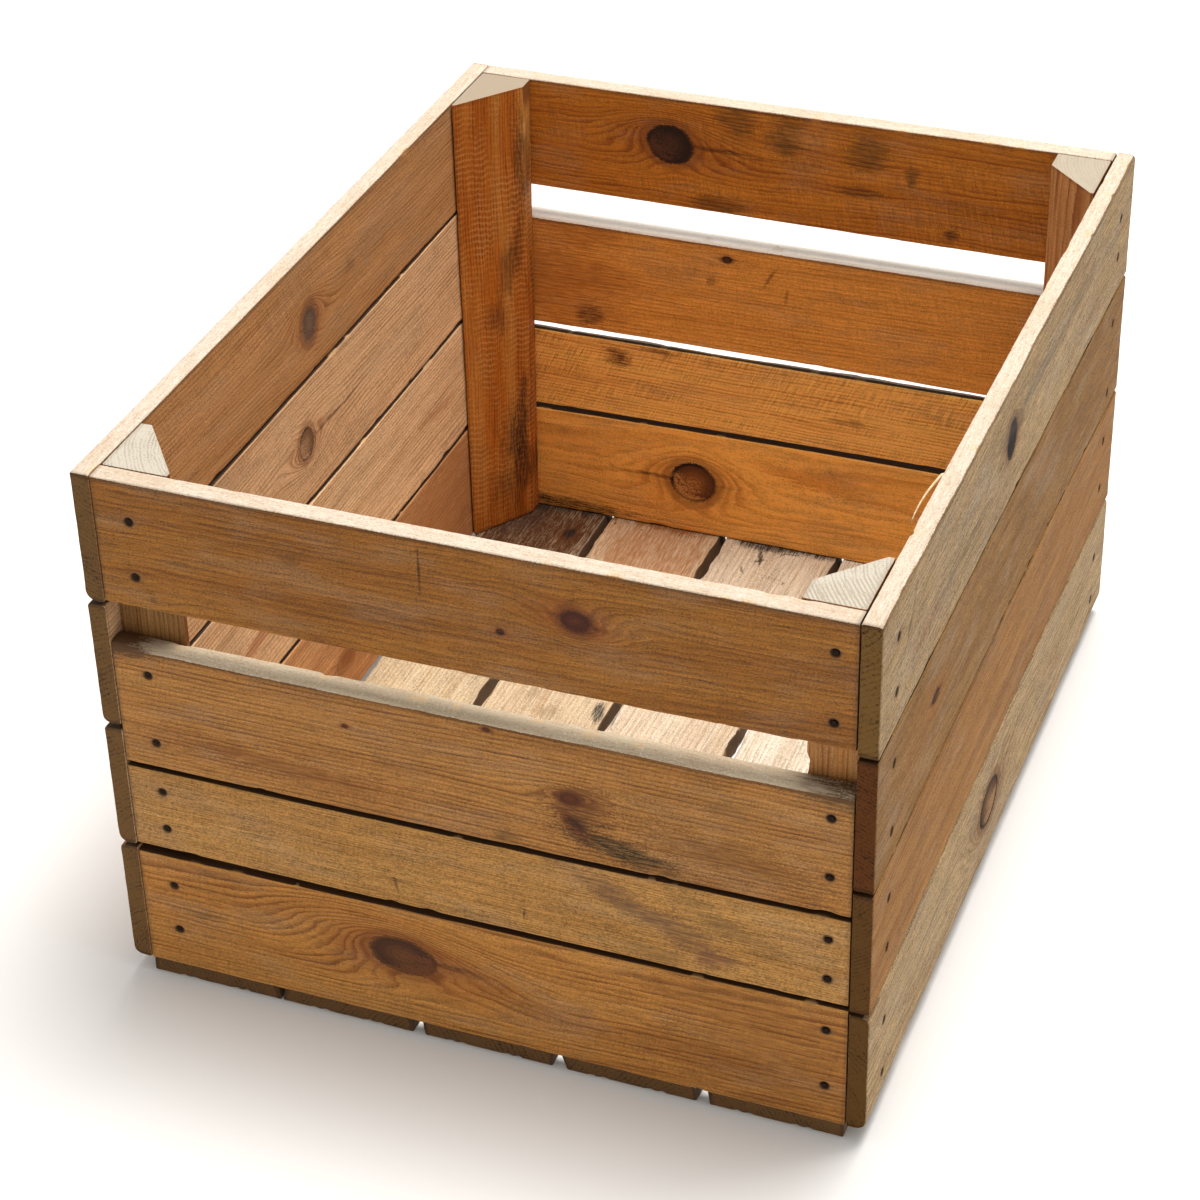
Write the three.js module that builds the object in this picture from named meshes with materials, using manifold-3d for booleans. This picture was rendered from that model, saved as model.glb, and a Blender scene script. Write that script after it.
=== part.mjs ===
// A wooden apple crate: four walls of sawn pine boards nailed to four corner posts, over a floor of
// five boards with gaps between them. The gap under the top board of each end wall is a hand slot.
// Millimetres, +Z up. The crate is 500 long along Y, its front end wall faces -Y, and the origin is
// on the ground under the middle of the floor.

import * as THREE from 'three';
import { mergeVertices } from 'three/addons/utils/BufferGeometryUtils.js';
import Module from 'manifold-3d';

const wasm = await Module();
wasm.setup();

// ---- driving dimensions ----

const CRATE_WIDTH = 405.7;
const CRATE_LENGTH = 500;
const CRATE_HEIGHT = 310;
const SIDE_BOARD_THICKNESS = 10.4;
const END_BOARD_THICKNESS = 11.2;
const FLOOR_BOARD_THICKNESS = 9.4;
const FLOOR_BOARD_SETBACK = 1.5; // how far the floor boards' ends stay behind the end walls' faces
const FIT_GAP = 0.3; // between pieces that bear on each other
const SAWN_ARRIS = 0.8; // the worn corner of a sawn board

const NAIL_LENGTH = 32;
const NAIL_SHANK_RADIUS = 1.1;
const NAIL_HEAD_RADIUS = 2.1;
const NAIL_HEAD_THICKNESS = 0.9;
const NAIL_POINT_LENGTH = 3.5;
const NAIL_HEAD_DEPTH = 0.4; // how far the head is driven below the board's face
const NAIL_SIDES = 10;

// How finely the solids are cut.
const CORNER_FACETS = 4; // round a rounded corner
const BOWED_BOARD_STEPS = 6; // along a board whose edges bow
const WANEY_BOARD_STEPS = 14; // along a board whose edges have wanes
const MERGE_TOLERANCE = 1e-4;

// ---- dimensions that follow ----

const INNER_HALF_WIDTH = CRATE_WIDTH / 2 - SIDE_BOARD_THICKNESS;
const INNER_HALF_LENGTH = CRATE_LENGTH / 2 - END_BOARD_THICKNESS;
const WALL_FOOT = FLOOR_BOARD_THICKNESS + FIT_GAP;
const WALL_HEIGHT = CRATE_HEIGHT - WALL_FOOT;
const POST_TOP = CRATE_HEIGHT - FIT_GAP;

// ---- the walls ----

// Every wall is described as it is seen from outside. A board's edges are given at its left and right
// end, as distances below the rim. bow lifts an edge by that much at the board's middle. nails are the
// distances below the rim of the two nails at each end, and nailsFromSideWall says how far the nails at
// a wall's two ends are from the side walls' inner faces. round holds any corner of the board's section
// that bark or wear has rounded by more than a sawn arris.

const FRONT_WALL = {
  name: 'front',
  turn: Math.PI,
  end: true,
  nailsFromSideWall: { left: 19, right: 11.4 },
  boards: [
    { top: [0, 0], bottom: [72, 70.5], nails: { left: [22.5, 54], right: [18.5, 57.5] } },
    {
      top: [96, 95.5],
      bottom: [169.8, 167.7],
      bow: { bottom: -0.6 },
      nails: { left: [112.6, 154], right: [112, 147] },
      round: { outerTop: 4, innerTop: 2.5 },
    },
    {
      top: [172.6, 170.4],
      bottom: [222.5, 223],
      bow: { top: -0.9, bottom: -0.7 },
      nails: { left: [185.3, 209.5], right: [185, 209] },
    },
    {
      top: [228, 225.8],
      bottom: [WALL_HEIGHT, WALL_HEIGHT],
      nails: { left: [246.3, 276], right: [242, 277.5] },
    },
  ],
};

const BACK_WALL = {
  name: 'back',
  turn: 0,
  end: true,
  nailsFromSideWall: { left: 17, right: 17 },
  boards: [
    { top: [0, 0], bottom: [71, 70], nails: { left: [20, 55], right: [17, 53] } },
    {
      top: [89.8, 90.3],
      bottom: [166.2, 165.4],
      bow: { bottom: 1.7 },
      nails: { left: [106, 150], right: [109, 148] },
    },
    {
      top: [168.8, 170.2],
      bottom: [221.6, 224.5],
      bow: { bottom: 1.1 },
      round: { outerTop: 8 },
      nails: { left: [184, 208], right: [186, 209] },
    },
    {
      top: [226.4, 228.2],
      bottom: [WALL_HEIGHT, WALL_HEIGHT],
      bow: { top: 1.9 },
      nails: { left: [242, 276], right: [246, 279] },
    },
  ],
};

const LEFT_WALL = {
  name: 'left',
  turn: Math.PI / 2,
  end: false,
  boards: [
    { top: [0, 0], bottom: [71.4, 73.6], round: { outerBottom: 6.5, innerBottom: 2.5 } },
    { top: [72.5, 75.6], bottom: [144.6, 148], round: { outerTop: 2, outerBottom: 6, innerBottom: 1.5 } },
    { top: [146.4, 150.8], bottom: [220.8, 224.4], round: { outerTop: 2.5, outerBottom: 6, innerBottom: 2 } },
    { top: [222.6, 226.4], bottom: [WALL_HEIGHT, WALL_HEIGHT], round: { outerTop: 2.5, outerBottom: 5 } },
  ],
};

const RIGHT_WALL = {
  name: 'right',
  turn: -Math.PI / 2,
  end: false,
  boards: [
    { top: [0, 0], bottom: [73, 74.5], bow: { bottom: 2.5 }, round: { outerTop: 2.5 } },
    { top: [75, 76.2], bottom: [151, 151.5], bow: { top: 2.5, bottom: 6 }, round: { outerTop: 1.5 } },
    { top: [153.2, 153.4], bottom: [225.8, 226], bow: { top: 6, bottom: 4 }, round: { outerTop: 1.5 } },
    {
      top: [228, 228],
      bottom: [WALL_HEIGHT, WALL_HEIGHT],
      bow: { top: 4 },
      round: { outerTop: 3.5, outerBottom: 5 },
    },
  ],
};

// ---- the floor ----

// Each floor board's left and right edge, from the crate's middle line. A wane is a place where the
// round of the log bites into an edge: how deep, where along the board (0 front, 1 back) and how long.
// The corners that round names are those of a board lying down: outer is its upper face, inner its
// underside, and top its right edge.

const FLOOR_BOARDS = [
  { edges: [-191.6, -119.8], wanes: { right: { depth: 1.5, at: 0.56, reach: 0.07 } }, round: {} },
  { edges: [-114.8, -42.2], wanes: { left: { depth: 1.2, at: 0.3, reach: 0.12 } }, round: {} },
  { edges: [-36.8, 35.6], wanes: { left: { depth: 1, at: 0.62, reach: 0.08 } }, round: { innerTop: 2 } },
  { edges: [41.4, 113.8], wanes: { left: { depth: 1.4, at: 0.45, reach: 0.3 } }, round: { innerTop: 3.5 } },
  { edges: [119.6, 191.2], wanes: { left: { depth: 1.2, at: 0.78, reach: 0.1 } }, round: { outerTop: 2 } },
];

// ---- the corner posts ----

// A post's section, measured from the inner corner of the walls: along the end wall, the depth of the
// blunt face there, along the side wall, and the width of the small flat that the long cut leaves.
// gaps are the slits left to the end wall and to the side wall. footShare is how much of its width along
// the end wall is left at the foot of a post that narrows downwards.

const POSTS = [
  {
    name: 'front_left', side: -1, end: -1,
    alongEnd: 36, blunt: 3, alongSide: 41.5, flat: 6, gaps: [1, 0.3],
  },
  {
    name: 'front_right', side: 1, end: -1,
    alongEnd: 31, blunt: 15.5, alongSide: 45, flat: 3, gaps: [1, 0.6],
  },
  {
    name: 'back_left', side: -1, end: 1,
    alongEnd: 31, blunt: 11, alongSide: 48.5, flat: 1.5, gaps: [0.3, 0.4], footShare: 0.85,
  },
  {
    name: 'back_right', side: 1, end: 1,
    alongEnd: 31, blunt: 15, alongSide: 43, flat: 2, gaps: [0.3, 1],
  },
];

// ---- materials ----

function wood(colour, roughness) {
  return new THREE.MeshStandardMaterial({ color: colour, roughness: roughness, metalness: 0 });
}

const END_WALL_WOOD = wood('#9a6b3a', 0.72);
const SIDE_WALL_WOOD = wood('#a1825c', 0.8);
const FLOOR_WOOD = wood('#b3895a', 0.78);
const POST_WOOD = wood('#c9bba5', 0.85);
const NAIL_STEEL = new THREE.MeshStandardMaterial({ color: '#38302a', roughness: 0.6, metalness: 0.75 });

// ---- from geometry to solid and back ----

// The merged positions of a closed geometry as a manifold solid. Triangles that a lathe folds flat on
// its axis are left out.
function toSolid(geometry) {
  const bare = new THREE.BufferGeometry();
  bare.setAttribute('position', geometry.getAttribute('position').clone());
  if (geometry.index) {
    bare.setIndex(geometry.index.clone());
  }
  const merged = mergeVertices(bare, MERGE_TOLERANCE);
  const corners = merged.index.array;
  const triangles = [];
  for (let i = 0; i < corners.length; i += 3) {
    const [a, b, c] = [corners[i], corners[i + 1], corners[i + 2]];
    if (a !== b && b !== c && c !== a) {
      triangles.push(a, b, c);
    }
  }
  return new wasm.Manifold(new wasm.Mesh({
    numProp: 3,
    vertProperties: new Float32Array(merged.getAttribute('position').array),
    triVerts: new Uint32Array(triangles),
  }));
}

function toGeometry(solid) {
  const mesh = solid.getMesh();
  const geometry = new THREE.BufferGeometry();
  geometry.setAttribute('position', new THREE.BufferAttribute(mesh.vertProperties, 3));
  geometry.setIndex(new THREE.BufferAttribute(mesh.triVerts, 1));
  geometry.computeVertexNormals();
  return geometry;
}

// ---- boards ----

// Adds a quarter turn round a corner of a board's section. A small arris is a single bevel.
function addCorner(points, x, y, radius, startAngle) {
  const facets = radius > SAWN_ARRIS ? CORNER_FACETS : 1;
  for (let i = 0; i <= facets; i++) {
    const angle = startAngle + (i / facets) * (Math.PI / 2);
    points.push(new THREE.Vector2(x + radius * Math.cos(angle), y + radius * Math.sin(angle)));
  }
}

// A board's section: its thickness runs along x from the inner face at 0, its width along y from 0.
function boardSection(thickness, width, round) {
  const corner = (name) => round[name] ?? SAWN_ARRIS;
  const points = [];
  const outerTop = corner('outerTop');
  const innerTop = corner('innerTop');
  const innerLow = corner('innerBottom');
  const outerLow = corner('outerBottom');
  addCorner(points, thickness - outerTop, width - outerTop, outerTop, 0);
  addCorner(points, innerTop, width - innerTop, innerTop, Math.PI / 2);
  addCorner(points, innerLow, innerLow, innerLow, Math.PI);
  addCorner(points, thickness - outerLow, outerLow, outerLow, 1.5 * Math.PI);
  return new THREE.Shape(points);
}

// A board of the given section along z. lowerShift and upperShift say how far the two edges move at
// each place along the board, from 0 to 1, so an edge can slope, bow or wave.
function sawnBoard(section, width, length, steps, lowerShift, upperShift) {
  const geometry = new THREE.ExtrudeGeometry(section, { depth: length, steps: steps, bevelEnabled: false });
  const position = geometry.getAttribute('position');
  for (let i = 0; i < position.count; i++) {
    const y = position.getY(i);
    const along = position.getZ(i) / length;
    position.setY(i, y + (y > width / 2 ? upperShift(along) : lowerShift(along)));
  }
  return geometry;
}

// Turns a board so that its thickness runs along y, its width up z and its length along x.
const STAND_IN_WALL = new THREE.Matrix4().makeBasis(
  new THREE.Vector3(0, 1, 0),
  new THREE.Vector3(0, 0, 1),
  new THREE.Vector3(1, 0, 0),
);

// Turns a board so that its thickness runs up z, its width along x and its length along y.
const LIE_IN_FLOOR = new THREE.Matrix4().makeBasis(
  new THREE.Vector3(0, 0, 1),
  new THREE.Vector3(1, 0, 0),
  new THREE.Vector3(0, 1, 0),
);

// One board of a wall, in the wall's own frame: x to the left seen from outside, y outwards, z up.
function wallBoard(wall, board, number) {
  const thickness = wall.end ? END_BOARD_THICKNESS : SIDE_BOARD_THICKNESS;
  const length = wall.end ? 2 * (INNER_HALF_WIDTH - FIT_GAP) : CRATE_LENGTH;
  const innerFace = wall.end ? INNER_HALF_LENGTH : INNER_HALF_WIDTH;
  const [topLeft, topRight] = board.top;
  const [bottomLeft, bottomRight] = board.bottom;
  const bow = { top: 0, bottom: 0, ...board.bow };
  const width = bottomRight - topRight;
  const section = boardSection(thickness, width, board.round ?? {});
  const arch = (along) => 4 * along * (1 - along);
  const lowerShift = (along) => (bottomRight - bottomLeft) * along + bow.bottom * arch(along);
  const upperShift = (along) => (topRight - topLeft) * along + bow.top * arch(along);
  const steps = board.bow ? BOWED_BOARD_STEPS : 1;
  const geometry = sawnBoard(section, width, length, steps, lowerShift, upperShift);
  geometry.applyMatrix4(STAND_IN_WALL);
  const mesh = new THREE.Mesh(geometry, wall.end ? END_WALL_WOOD : SIDE_WALL_WOOD);
  mesh.name = `${wall.name}_wall_board_${number}`;
  mesh.position.set(-length / 2, innerFace, CRATE_HEIGHT - bottomRight);
  return mesh;
}

// How far a wane bites into an edge at a place along the board.
function waneDepth(wane, along) {
  if (!wane) {
    return 0;
  }
  const distance = (along - wane.at) / wane.reach;
  return wane.depth * Math.exp(-distance * distance);
}

function floorBoard(board, number) {
  const [leftEdge, rightEdge] = board.edges;
  const width = rightEdge - leftEdge;
  const length = CRATE_LENGTH - 2 * FLOOR_BOARD_SETBACK;
  const section = boardSection(FLOOR_BOARD_THICKNESS, width, board.round);
  const lowerShift = (along) => waneDepth(board.wanes.left, along);
  const upperShift = (along) => -waneDepth(board.wanes.right, along);
  const geometry = sawnBoard(section, width, length, WANEY_BOARD_STEPS, lowerShift, upperShift);
  geometry.applyMatrix4(LIE_IN_FLOOR);
  const mesh = new THREE.Mesh(geometry, FLOOR_WOOD);
  mesh.name = `floor_board_${number}`;
  mesh.position.set(leftEdge, -length / 2, 0);
  return mesh;
}

// ---- corner posts ----

// A post sawn along its length from a square batten, so its long face cuts across the corner.
function cornerPost(post) {
  const outline = [
    [0, 0],
    [post.alongEnd, 0],
    [post.alongEnd, post.blunt],
    [post.flat, post.alongSide],
    [0, post.alongSide],
  ];
  const points = outline.map(([x, y]) => new THREE.Vector2(-post.side * x, -post.end * y));
  const height = POST_TOP - WALL_FOOT;
  const geometry = new THREE.ExtrudeGeometry(new THREE.Shape(points), { depth: height, bevelEnabled: false });
  const position = geometry.getAttribute('position');
  const footShare = post.footShare ?? 1;
  for (let i = 0; i < position.count; i++) {
    const widthShare = footShare + (1 - footShare) * (position.getZ(i) / height);
    position.setX(i, position.getX(i) * widthShare);
  }
  const mesh = new THREE.Mesh(geometry, POST_WOOD);
  const [endGap, sideGap] = post.gaps;
  mesh.name = `corner_post_${post.name}`;
  mesh.position.set(
    post.side * (INNER_HALF_WIDTH - sideGap),
    post.end * (INNER_HALF_LENGTH - endGap),
    WALL_FOOT,
  );
  return mesh;
}

// ---- nails ----

// A turned nail or nail hole, point at the origin and head up y. grow widens it all round.
function turnedNail(grow, headRoom) {
  const underHead = NAIL_LENGTH - NAIL_HEAD_THICKNESS - grow;
  const profile = [
    [0, -grow],
    [NAIL_SHANK_RADIUS + grow, NAIL_POINT_LENGTH],
    [NAIL_SHANK_RADIUS + grow, underHead],
    [NAIL_HEAD_RADIUS + grow, underHead],
    [NAIL_HEAD_RADIUS + grow, NAIL_LENGTH + headRoom],
    [0, NAIL_LENGTH + headRoom],
  ];
  const points = profile.map(([radius, height]) => new THREE.Vector2(radius, height));
  return new THREE.LatheGeometry(points, NAIL_SIDES);
}

const NAIL = turnedNail(0, 0);
const NAIL_HOLE = turnedNail(FIT_GAP, 2 * NAIL_HEAD_DEPTH);

// A nail of an end wall, in the wall's own frame. side is 1 at the wall's left end seen from outside.
function wallNail(wall, side, end, number, belowRim) {
  const mesh = new THREE.Mesh(NAIL, NAIL_STEEL);
  mesh.name = `nail_${wall.name}_${end}_${number}`;
  mesh.position.set(
    side * (INNER_HALF_WIDTH - wall.nailsFromSideWall[end]),
    CRATE_LENGTH / 2 - NAIL_HEAD_DEPTH - NAIL_LENGTH,
    CRATE_HEIGHT - belowRim,
  );
  return mesh;
}

// Cuts the holes of these nails out of a piece that they run through.
function cutNailHoles(mesh, nails) {
  mesh.updateWorldMatrix(true, false);
  const toMesh = mesh.matrixWorld.clone().invert();
  let solid = toSolid(mesh.geometry);
  for (const nail of nails) {
    nail.updateWorldMatrix(true, false);
    const placed = toMesh.clone().multiply(nail.matrixWorld);
    solid = solid.subtract(toSolid(NAIL_HOLE.clone().applyMatrix4(placed)));
  }
  mesh.geometry = toGeometry(solid);
}

// ---- the crate ----

const crate = new THREE.Group();
crate.name = 'wooden_apple_crate';

FLOOR_BOARDS.forEach((board, index) => crate.add(floorBoard(board, index + 1)));

const posts = {};
for (const post of POSTS) {
  posts[post.name] = cornerPost(post);
  crate.add(posts[post.name]);
}

// The corner that a wall's end meets. Seen from outside, the front wall's left is the crate's left and
// the back wall's left is the crate's right.
function postAt(wall, end) {
  const crateSide = wall.name === 'front' ? end : { left: 'right', right: 'left' }[end];
  return `${wall.name}_${crateSide}`;
}

for (const wall of [FRONT_WALL, BACK_WALL, LEFT_WALL, RIGHT_WALL]) {
  const wallGroup = new THREE.Group();
  wallGroup.rotation.z = wall.turn;
  crate.add(wallGroup);
  const nailsInPost = { left: [], right: [] };
  wall.boards.forEach((board, index) => {
    const boardMesh = wallBoard(wall, board, index + 1);
    wallGroup.add(boardMesh);
    if (!board.nails) {
      return;
    }
    const nailsInBoard = [];
    for (const [end, side] of [['left', 1], ['right', -1]]) {
      for (const belowRim of board.nails[end]) {
        const nail = wallNail(wall, side, end, nailsInPost[end].length + 1, belowRim);
        wallGroup.add(nail);
        nailsInPost[end].push(nail);
        nailsInBoard.push(nail);
      }
    }
    cutNailHoles(boardMesh, nailsInBoard);
  });
  for (const end of ['left', 'right']) {
    if (nailsInPost[end].length > 0) {
      cutNailHoles(posts[postAt(wall, end)], nailsInPost[end]);
    }
  }
}

export default crate;
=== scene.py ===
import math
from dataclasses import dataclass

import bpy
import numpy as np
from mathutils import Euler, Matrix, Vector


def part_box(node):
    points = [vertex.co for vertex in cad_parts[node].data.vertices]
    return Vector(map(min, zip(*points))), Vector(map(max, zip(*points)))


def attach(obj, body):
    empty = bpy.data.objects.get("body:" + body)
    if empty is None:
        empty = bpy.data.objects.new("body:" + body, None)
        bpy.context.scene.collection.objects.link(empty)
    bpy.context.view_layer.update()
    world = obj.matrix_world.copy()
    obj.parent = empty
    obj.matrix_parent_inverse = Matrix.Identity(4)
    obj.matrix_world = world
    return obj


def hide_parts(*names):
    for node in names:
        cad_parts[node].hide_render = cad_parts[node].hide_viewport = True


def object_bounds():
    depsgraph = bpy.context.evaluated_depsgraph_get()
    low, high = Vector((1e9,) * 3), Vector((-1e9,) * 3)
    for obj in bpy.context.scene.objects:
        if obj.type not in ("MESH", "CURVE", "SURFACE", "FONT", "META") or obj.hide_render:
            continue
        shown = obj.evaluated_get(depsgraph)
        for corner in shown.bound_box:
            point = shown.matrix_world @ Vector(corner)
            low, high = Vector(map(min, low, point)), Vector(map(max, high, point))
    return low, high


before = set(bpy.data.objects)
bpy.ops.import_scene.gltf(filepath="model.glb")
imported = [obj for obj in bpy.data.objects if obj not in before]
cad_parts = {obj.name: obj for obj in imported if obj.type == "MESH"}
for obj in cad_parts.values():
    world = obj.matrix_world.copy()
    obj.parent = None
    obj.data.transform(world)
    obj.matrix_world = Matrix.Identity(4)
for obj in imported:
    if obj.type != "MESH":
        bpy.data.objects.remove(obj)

# The looks of a worn pine apple crate. Every board, post and nail of the imported model is replaced by a
# finely modelled one in the same place, with sawn arrises worn round, chips and nail dimples. The pine
# material, with growth rings, knots, stains, weathering, painted shade and painted highlights, is made
# anew for each piece of wood.
#
# A piece of wood has a frame of its own: x along the grain, y across it and z out of its outer face,
# in millimetres from the middle of its CAD node's box. Its object carries that frame, so a material's
# object coordinates are the piece's own.

CAD_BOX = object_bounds()
MM = 0.001
RIM = CAD_BOX[1].z / MM
BODY = "root"

# ---- sizes of the modelled detail, in millimetres ----

STEP_ALONG = 2.0
STEP_ACROSS = 5.0
STEP_THROUGH = 2.6
POST_STEP = 2.4

# How far from an edge, an end or a nail's middle the extra lines of the lattice lie.
EDGE_LINES = (0, 0.25, 0.6, 1.1, 1.8, 3, 4.6)
FACE_LINES = (0, 0.3, 0.8, 1.6)
END_LINES = (0, 0.2, 0.5, 0.9, 1.4)
NAIL_LINES = (0, 1.3, 1.95, 2.1, 2.5, 3.2, 4.4, 6)
POST_LINES = (0, 0.3, 0.8, 1.5)
POST_FLAT_LINES = (0, 0.6)
POST_FLAT = 0.12  # the share of a post's width that its narrow flat takes up

SAWN_ARRIS = 0.9
POST_ARRIS = SAWN_ARRIS * 0.7
END_ARRIS = 0.8
END_ROUGHNESS = 0.55
CHIP_SPACING = 55
FRONT_WANE = (12, 50)  # the wane of a floor board changes this far from its front end
ROUND_REACH = (3.6, 6)  # how far round a nail the lattice lines are circles
DIMPLE_REACH = (0, 1.95, 2.1, 2.5, 3.2, 4.4)
DIMPLE_DEPTH = (1.5, 1.5, 0.5, 0.2, 0.06, 0)

NAIL_HEAD_DEPTH = 0.45
NAIL_FROM_END = 28  # of a side wall's board
NAIL_SIDES = 20
NAIL_PROFILE = (
    (0, 0), (0.5, 1.5), (1.1, 3.5), (1.1, 30.5), (1.3, 31), (1.65, 31.1), (1.75, 31.3), (1.75, 31.7),
    (1.65, 31.9), (1.4, 32), (1, 31.97), (0.5, 31.92), (0, 31.9),
)
NAIL_LENGTH = 32

# ---- the frames of the walls ----

# The directions along a board from its left end to its right end seen from outside, up the wall, and
# out of it. A floor board is seen from above with the crate's front to its right.
AXES = {
    "front": ((1, 0, 0), (0, 0, 1), (0, -1, 0)),
    "back": ((-1, 0, 0), (0, 0, 1), (0, 1, 0)),
    "left": ((0, -1, 0), (0, 0, 1), (-1, 0, 0)),
    "right": ((0, 1, 0), (0, 0, 1), (1, 0, 0)),
    "floor": ((0, -1, 0), (1, 0, 0), (0, 0, 1)),
    "post": ((0, 0, 1), (1, 0, 0), (0, 1, 0)),
}


def place(kind, node):
    """The matrix from the own frame of a piece, in the middle of its CAD node's box, to the crate's."""
    low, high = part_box(node)
    turn = Matrix(AXES[kind]).transposed()
    return Matrix.Translation((low + high) / 2) @ turn.to_4x4()


def own_points(node, matrix):
    """The vertices of a CAD node in the piece's own frame, in millimetres."""
    inverse = matrix.inverted()
    points = [inverse @ vertex.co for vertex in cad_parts[node].data.vertices]
    return np.array(points) / MM


# ---- noise and small formulas ----

def value_noise(points, seed):
    """Smooth noise from 0 to 1 at each row of points, one cell to the unit."""
    table = np.random.default_rng(seed).random(4096)
    cell = np.floor(points).astype(np.int64)
    part = points - cell
    part = part * part * (3 - 2 * part)
    total = np.zeros(len(points))
    for corner in np.ndindex(2, 2, 2):
        at = cell + corner
        index = (at[:, 0] * 73856093 ^ at[:, 1] * 19349663 ^ at[:, 2] * 83492791) % len(table)
        total += np.prod(np.where(corner, part, 1 - part), axis=1) * table[index]
    return total


def line_noise(places, cell, seed):
    """Smooth noise along a line."""
    points = np.zeros((len(places), 3))
    points[:, 0] = places / cell
    return value_noise(points, seed)


def smooth_step(low, high, value):
    share = np.clip((value - low) / (high - low), 0, 1)
    return share * share * (3 - 2 * share)


# ---- the lattice that every piece of wood is made on ----

def stations(low, high, step, edge_lines, places=(), place_lines=()):
    """Lines from low to high: the edges' and the special places' own, and even ones between them."""
    fixed = [low + offset for offset in edge_lines] + [high - offset for offset in edge_lines]
    for middle in places:
        fixed += [middle + side * offset for offset in place_lines for side in (-1, 1)]
    fixed = sorted(value for value in fixed if low <= value <= high)
    kept = [fixed[0]]
    for value in fixed[1:]:
        if value - kept[-1] > 0.08:
            kept.append(value)
    lines = [kept[0]]
    for value in kept[1:]:
        gap = value - lines[-1]
        count = max(1, round(gap / step))
        lines += [lines[-1] + gap * (i + 1) / count for i in range(count)]
    return np.array(lines)


def lattice_skin(counts):
    """The lattice index of each point on the skin of a box of lines, and the quads between them."""
    quads = []
    for axis in range(3):
        u, v = (axis + 1) % 3, (axis + 2) % 3
        a, b = np.meshgrid(np.arange(counts[u] - 1), np.arange(counts[v] - 1), indexing="ij")
        for side in (0, counts[axis] - 1):
            corners = []
            for step_u, step_v in ((0, 0), (1, 0), (1, 1), (0, 1)):
                index = np.zeros(a.shape + (3,), np.int64)
                index[..., axis] = side
                index[..., u] = a + step_u
                index[..., v] = b + step_v
                corners.append(index.reshape(-1, 3))
            if side == 0:
                corners.reverse()
            quads.append(np.stack(corners, 1))
    quads = np.concatenate(quads)
    flat = quads @ np.array((counts[1] * counts[2], counts[2], 1))
    used, faces = np.unique(flat, return_inverse=True)
    return np.stack(np.unravel_index(used, counts), 1), faces.reshape(-1, 4)


def unit(vector):
    return vector / np.linalg.norm(vector)


def round_corners(section, outline, radii):
    """Pulls the points of a section in to the arcs that wear has made of its outline's corners."""
    for i, corner in enumerate(outline):
        back = unit(outline[i - 1] - corner)
        ahead = unit(outline[(i + 1) % len(outline)] - corner)
        half_angle = math.acos(np.clip(back @ ahead, -1, 1)) / 2
        reach = radii[i] / math.tan(half_angle)
        centre = corner + unit(back + ahead) * (radii[i] / math.sin(half_angle))[:, None]
        offset = section - corner
        spread = section - centre
        distance = np.linalg.norm(spread, axis=1)
        pulled = (offset @ back < reach) & (offset @ ahead < reach) & (distance > radii[i])
        share = (radii[i][pulled] / distance[pulled])[:, None]
        section[pulled] = centre[pulled] + spread[pulled] * share
    return section


def worn_radius(x, base, dice):
    """The radius of a long arris at each place along it: uneven, with chips knocked out of it."""
    seed = int(dice.integers(1, 10**6))
    radius = base * (0.72 + 0.56 * line_noise(x, 23, seed)) + 0.3 * line_noise(x, 4.5, seed + 1)
    chips = np.zeros(len(x))
    for _ in range(int(np.ptp(x) / CHIP_SPACING)):
        middle = dice.uniform(x.min(), x.max())
        reach = dice.uniform(1.5, 6)
        depth = dice.uniform(0.25, 1.3) ** 1.5
        chips += depth * np.exp(-(((x - middle) / reach) ** 4))
    return radius + chips, chips


def worn_section(section, x, outline, bases, dice):
    """The section with its corners worn round, and where chips are knocked out of them."""
    radii, chips = [], np.zeros(len(x))
    for corner, base in zip(outline, bases):
        radius, chip = worn_radius(x, base, dice)
        radii.append(radius)
        near = np.linalg.norm(section - corner, axis=1) < radius * 1.4 + 0.6
        chips = np.maximum(chips, chip * near)
    return round_corners(section, outline, radii), chips


def set_attribute(mesh, name, *columns):
    attribute = mesh.attributes.new(name, "FLOAT_VECTOR", "POINT")
    values = np.stack(np.broadcast_arrays(*columns), 1)
    attribute.data.foreach_set("vector", values.astype(np.float32).ravel())


def make_mesh(name, points, faces):
    """A smooth-shaded mesh whose faces point out, from points in millimetres."""
    corners = points[faces]
    middle = corners.mean(1)
    normal = np.cross(corners[:, 2] - corners[:, 0], corners[:, 3] - corners[:, 1])
    if np.sum(middle * normal) < 0:
        faces = faces[:, ::-1]
    mesh = bpy.data.meshes.new(name)
    mesh.vertices.add(len(points))
    mesh.vertices.foreach_set("co", (points * MM).astype(np.float32).ravel())
    mesh.loops.add(faces.size)
    mesh.loops.foreach_set("vertex_index", faces.astype(np.int32).ravel())
    mesh.polygons.add(len(faces))
    mesh.polygons.foreach_set("loop_start", np.arange(0, faces.size, 4, dtype=np.int32))
    mesh.polygons.foreach_set("use_smooth", np.ones(len(faces), bool))
    mesh.update()
    mesh.validate()
    return mesh


# ---- the shape of one piece of wood ----

def board_edges(points):
    """How a board's lower and upper edge run, read off its CAD node: places along it and their y."""
    width = np.ptp(points[:, 1])
    places, lower, upper = [], [], []
    for x in np.unique(np.round(points[:, 0], 1)):
        here = points[np.abs(points[:, 0] - x) < 0.1, 1]
        if np.ptp(here) > 0.8 * width:
            places.append(x)
            lower.append(here.min())
            upper.append(here.max())
    return np.array(places), np.array(lower), np.array(upper)


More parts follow.
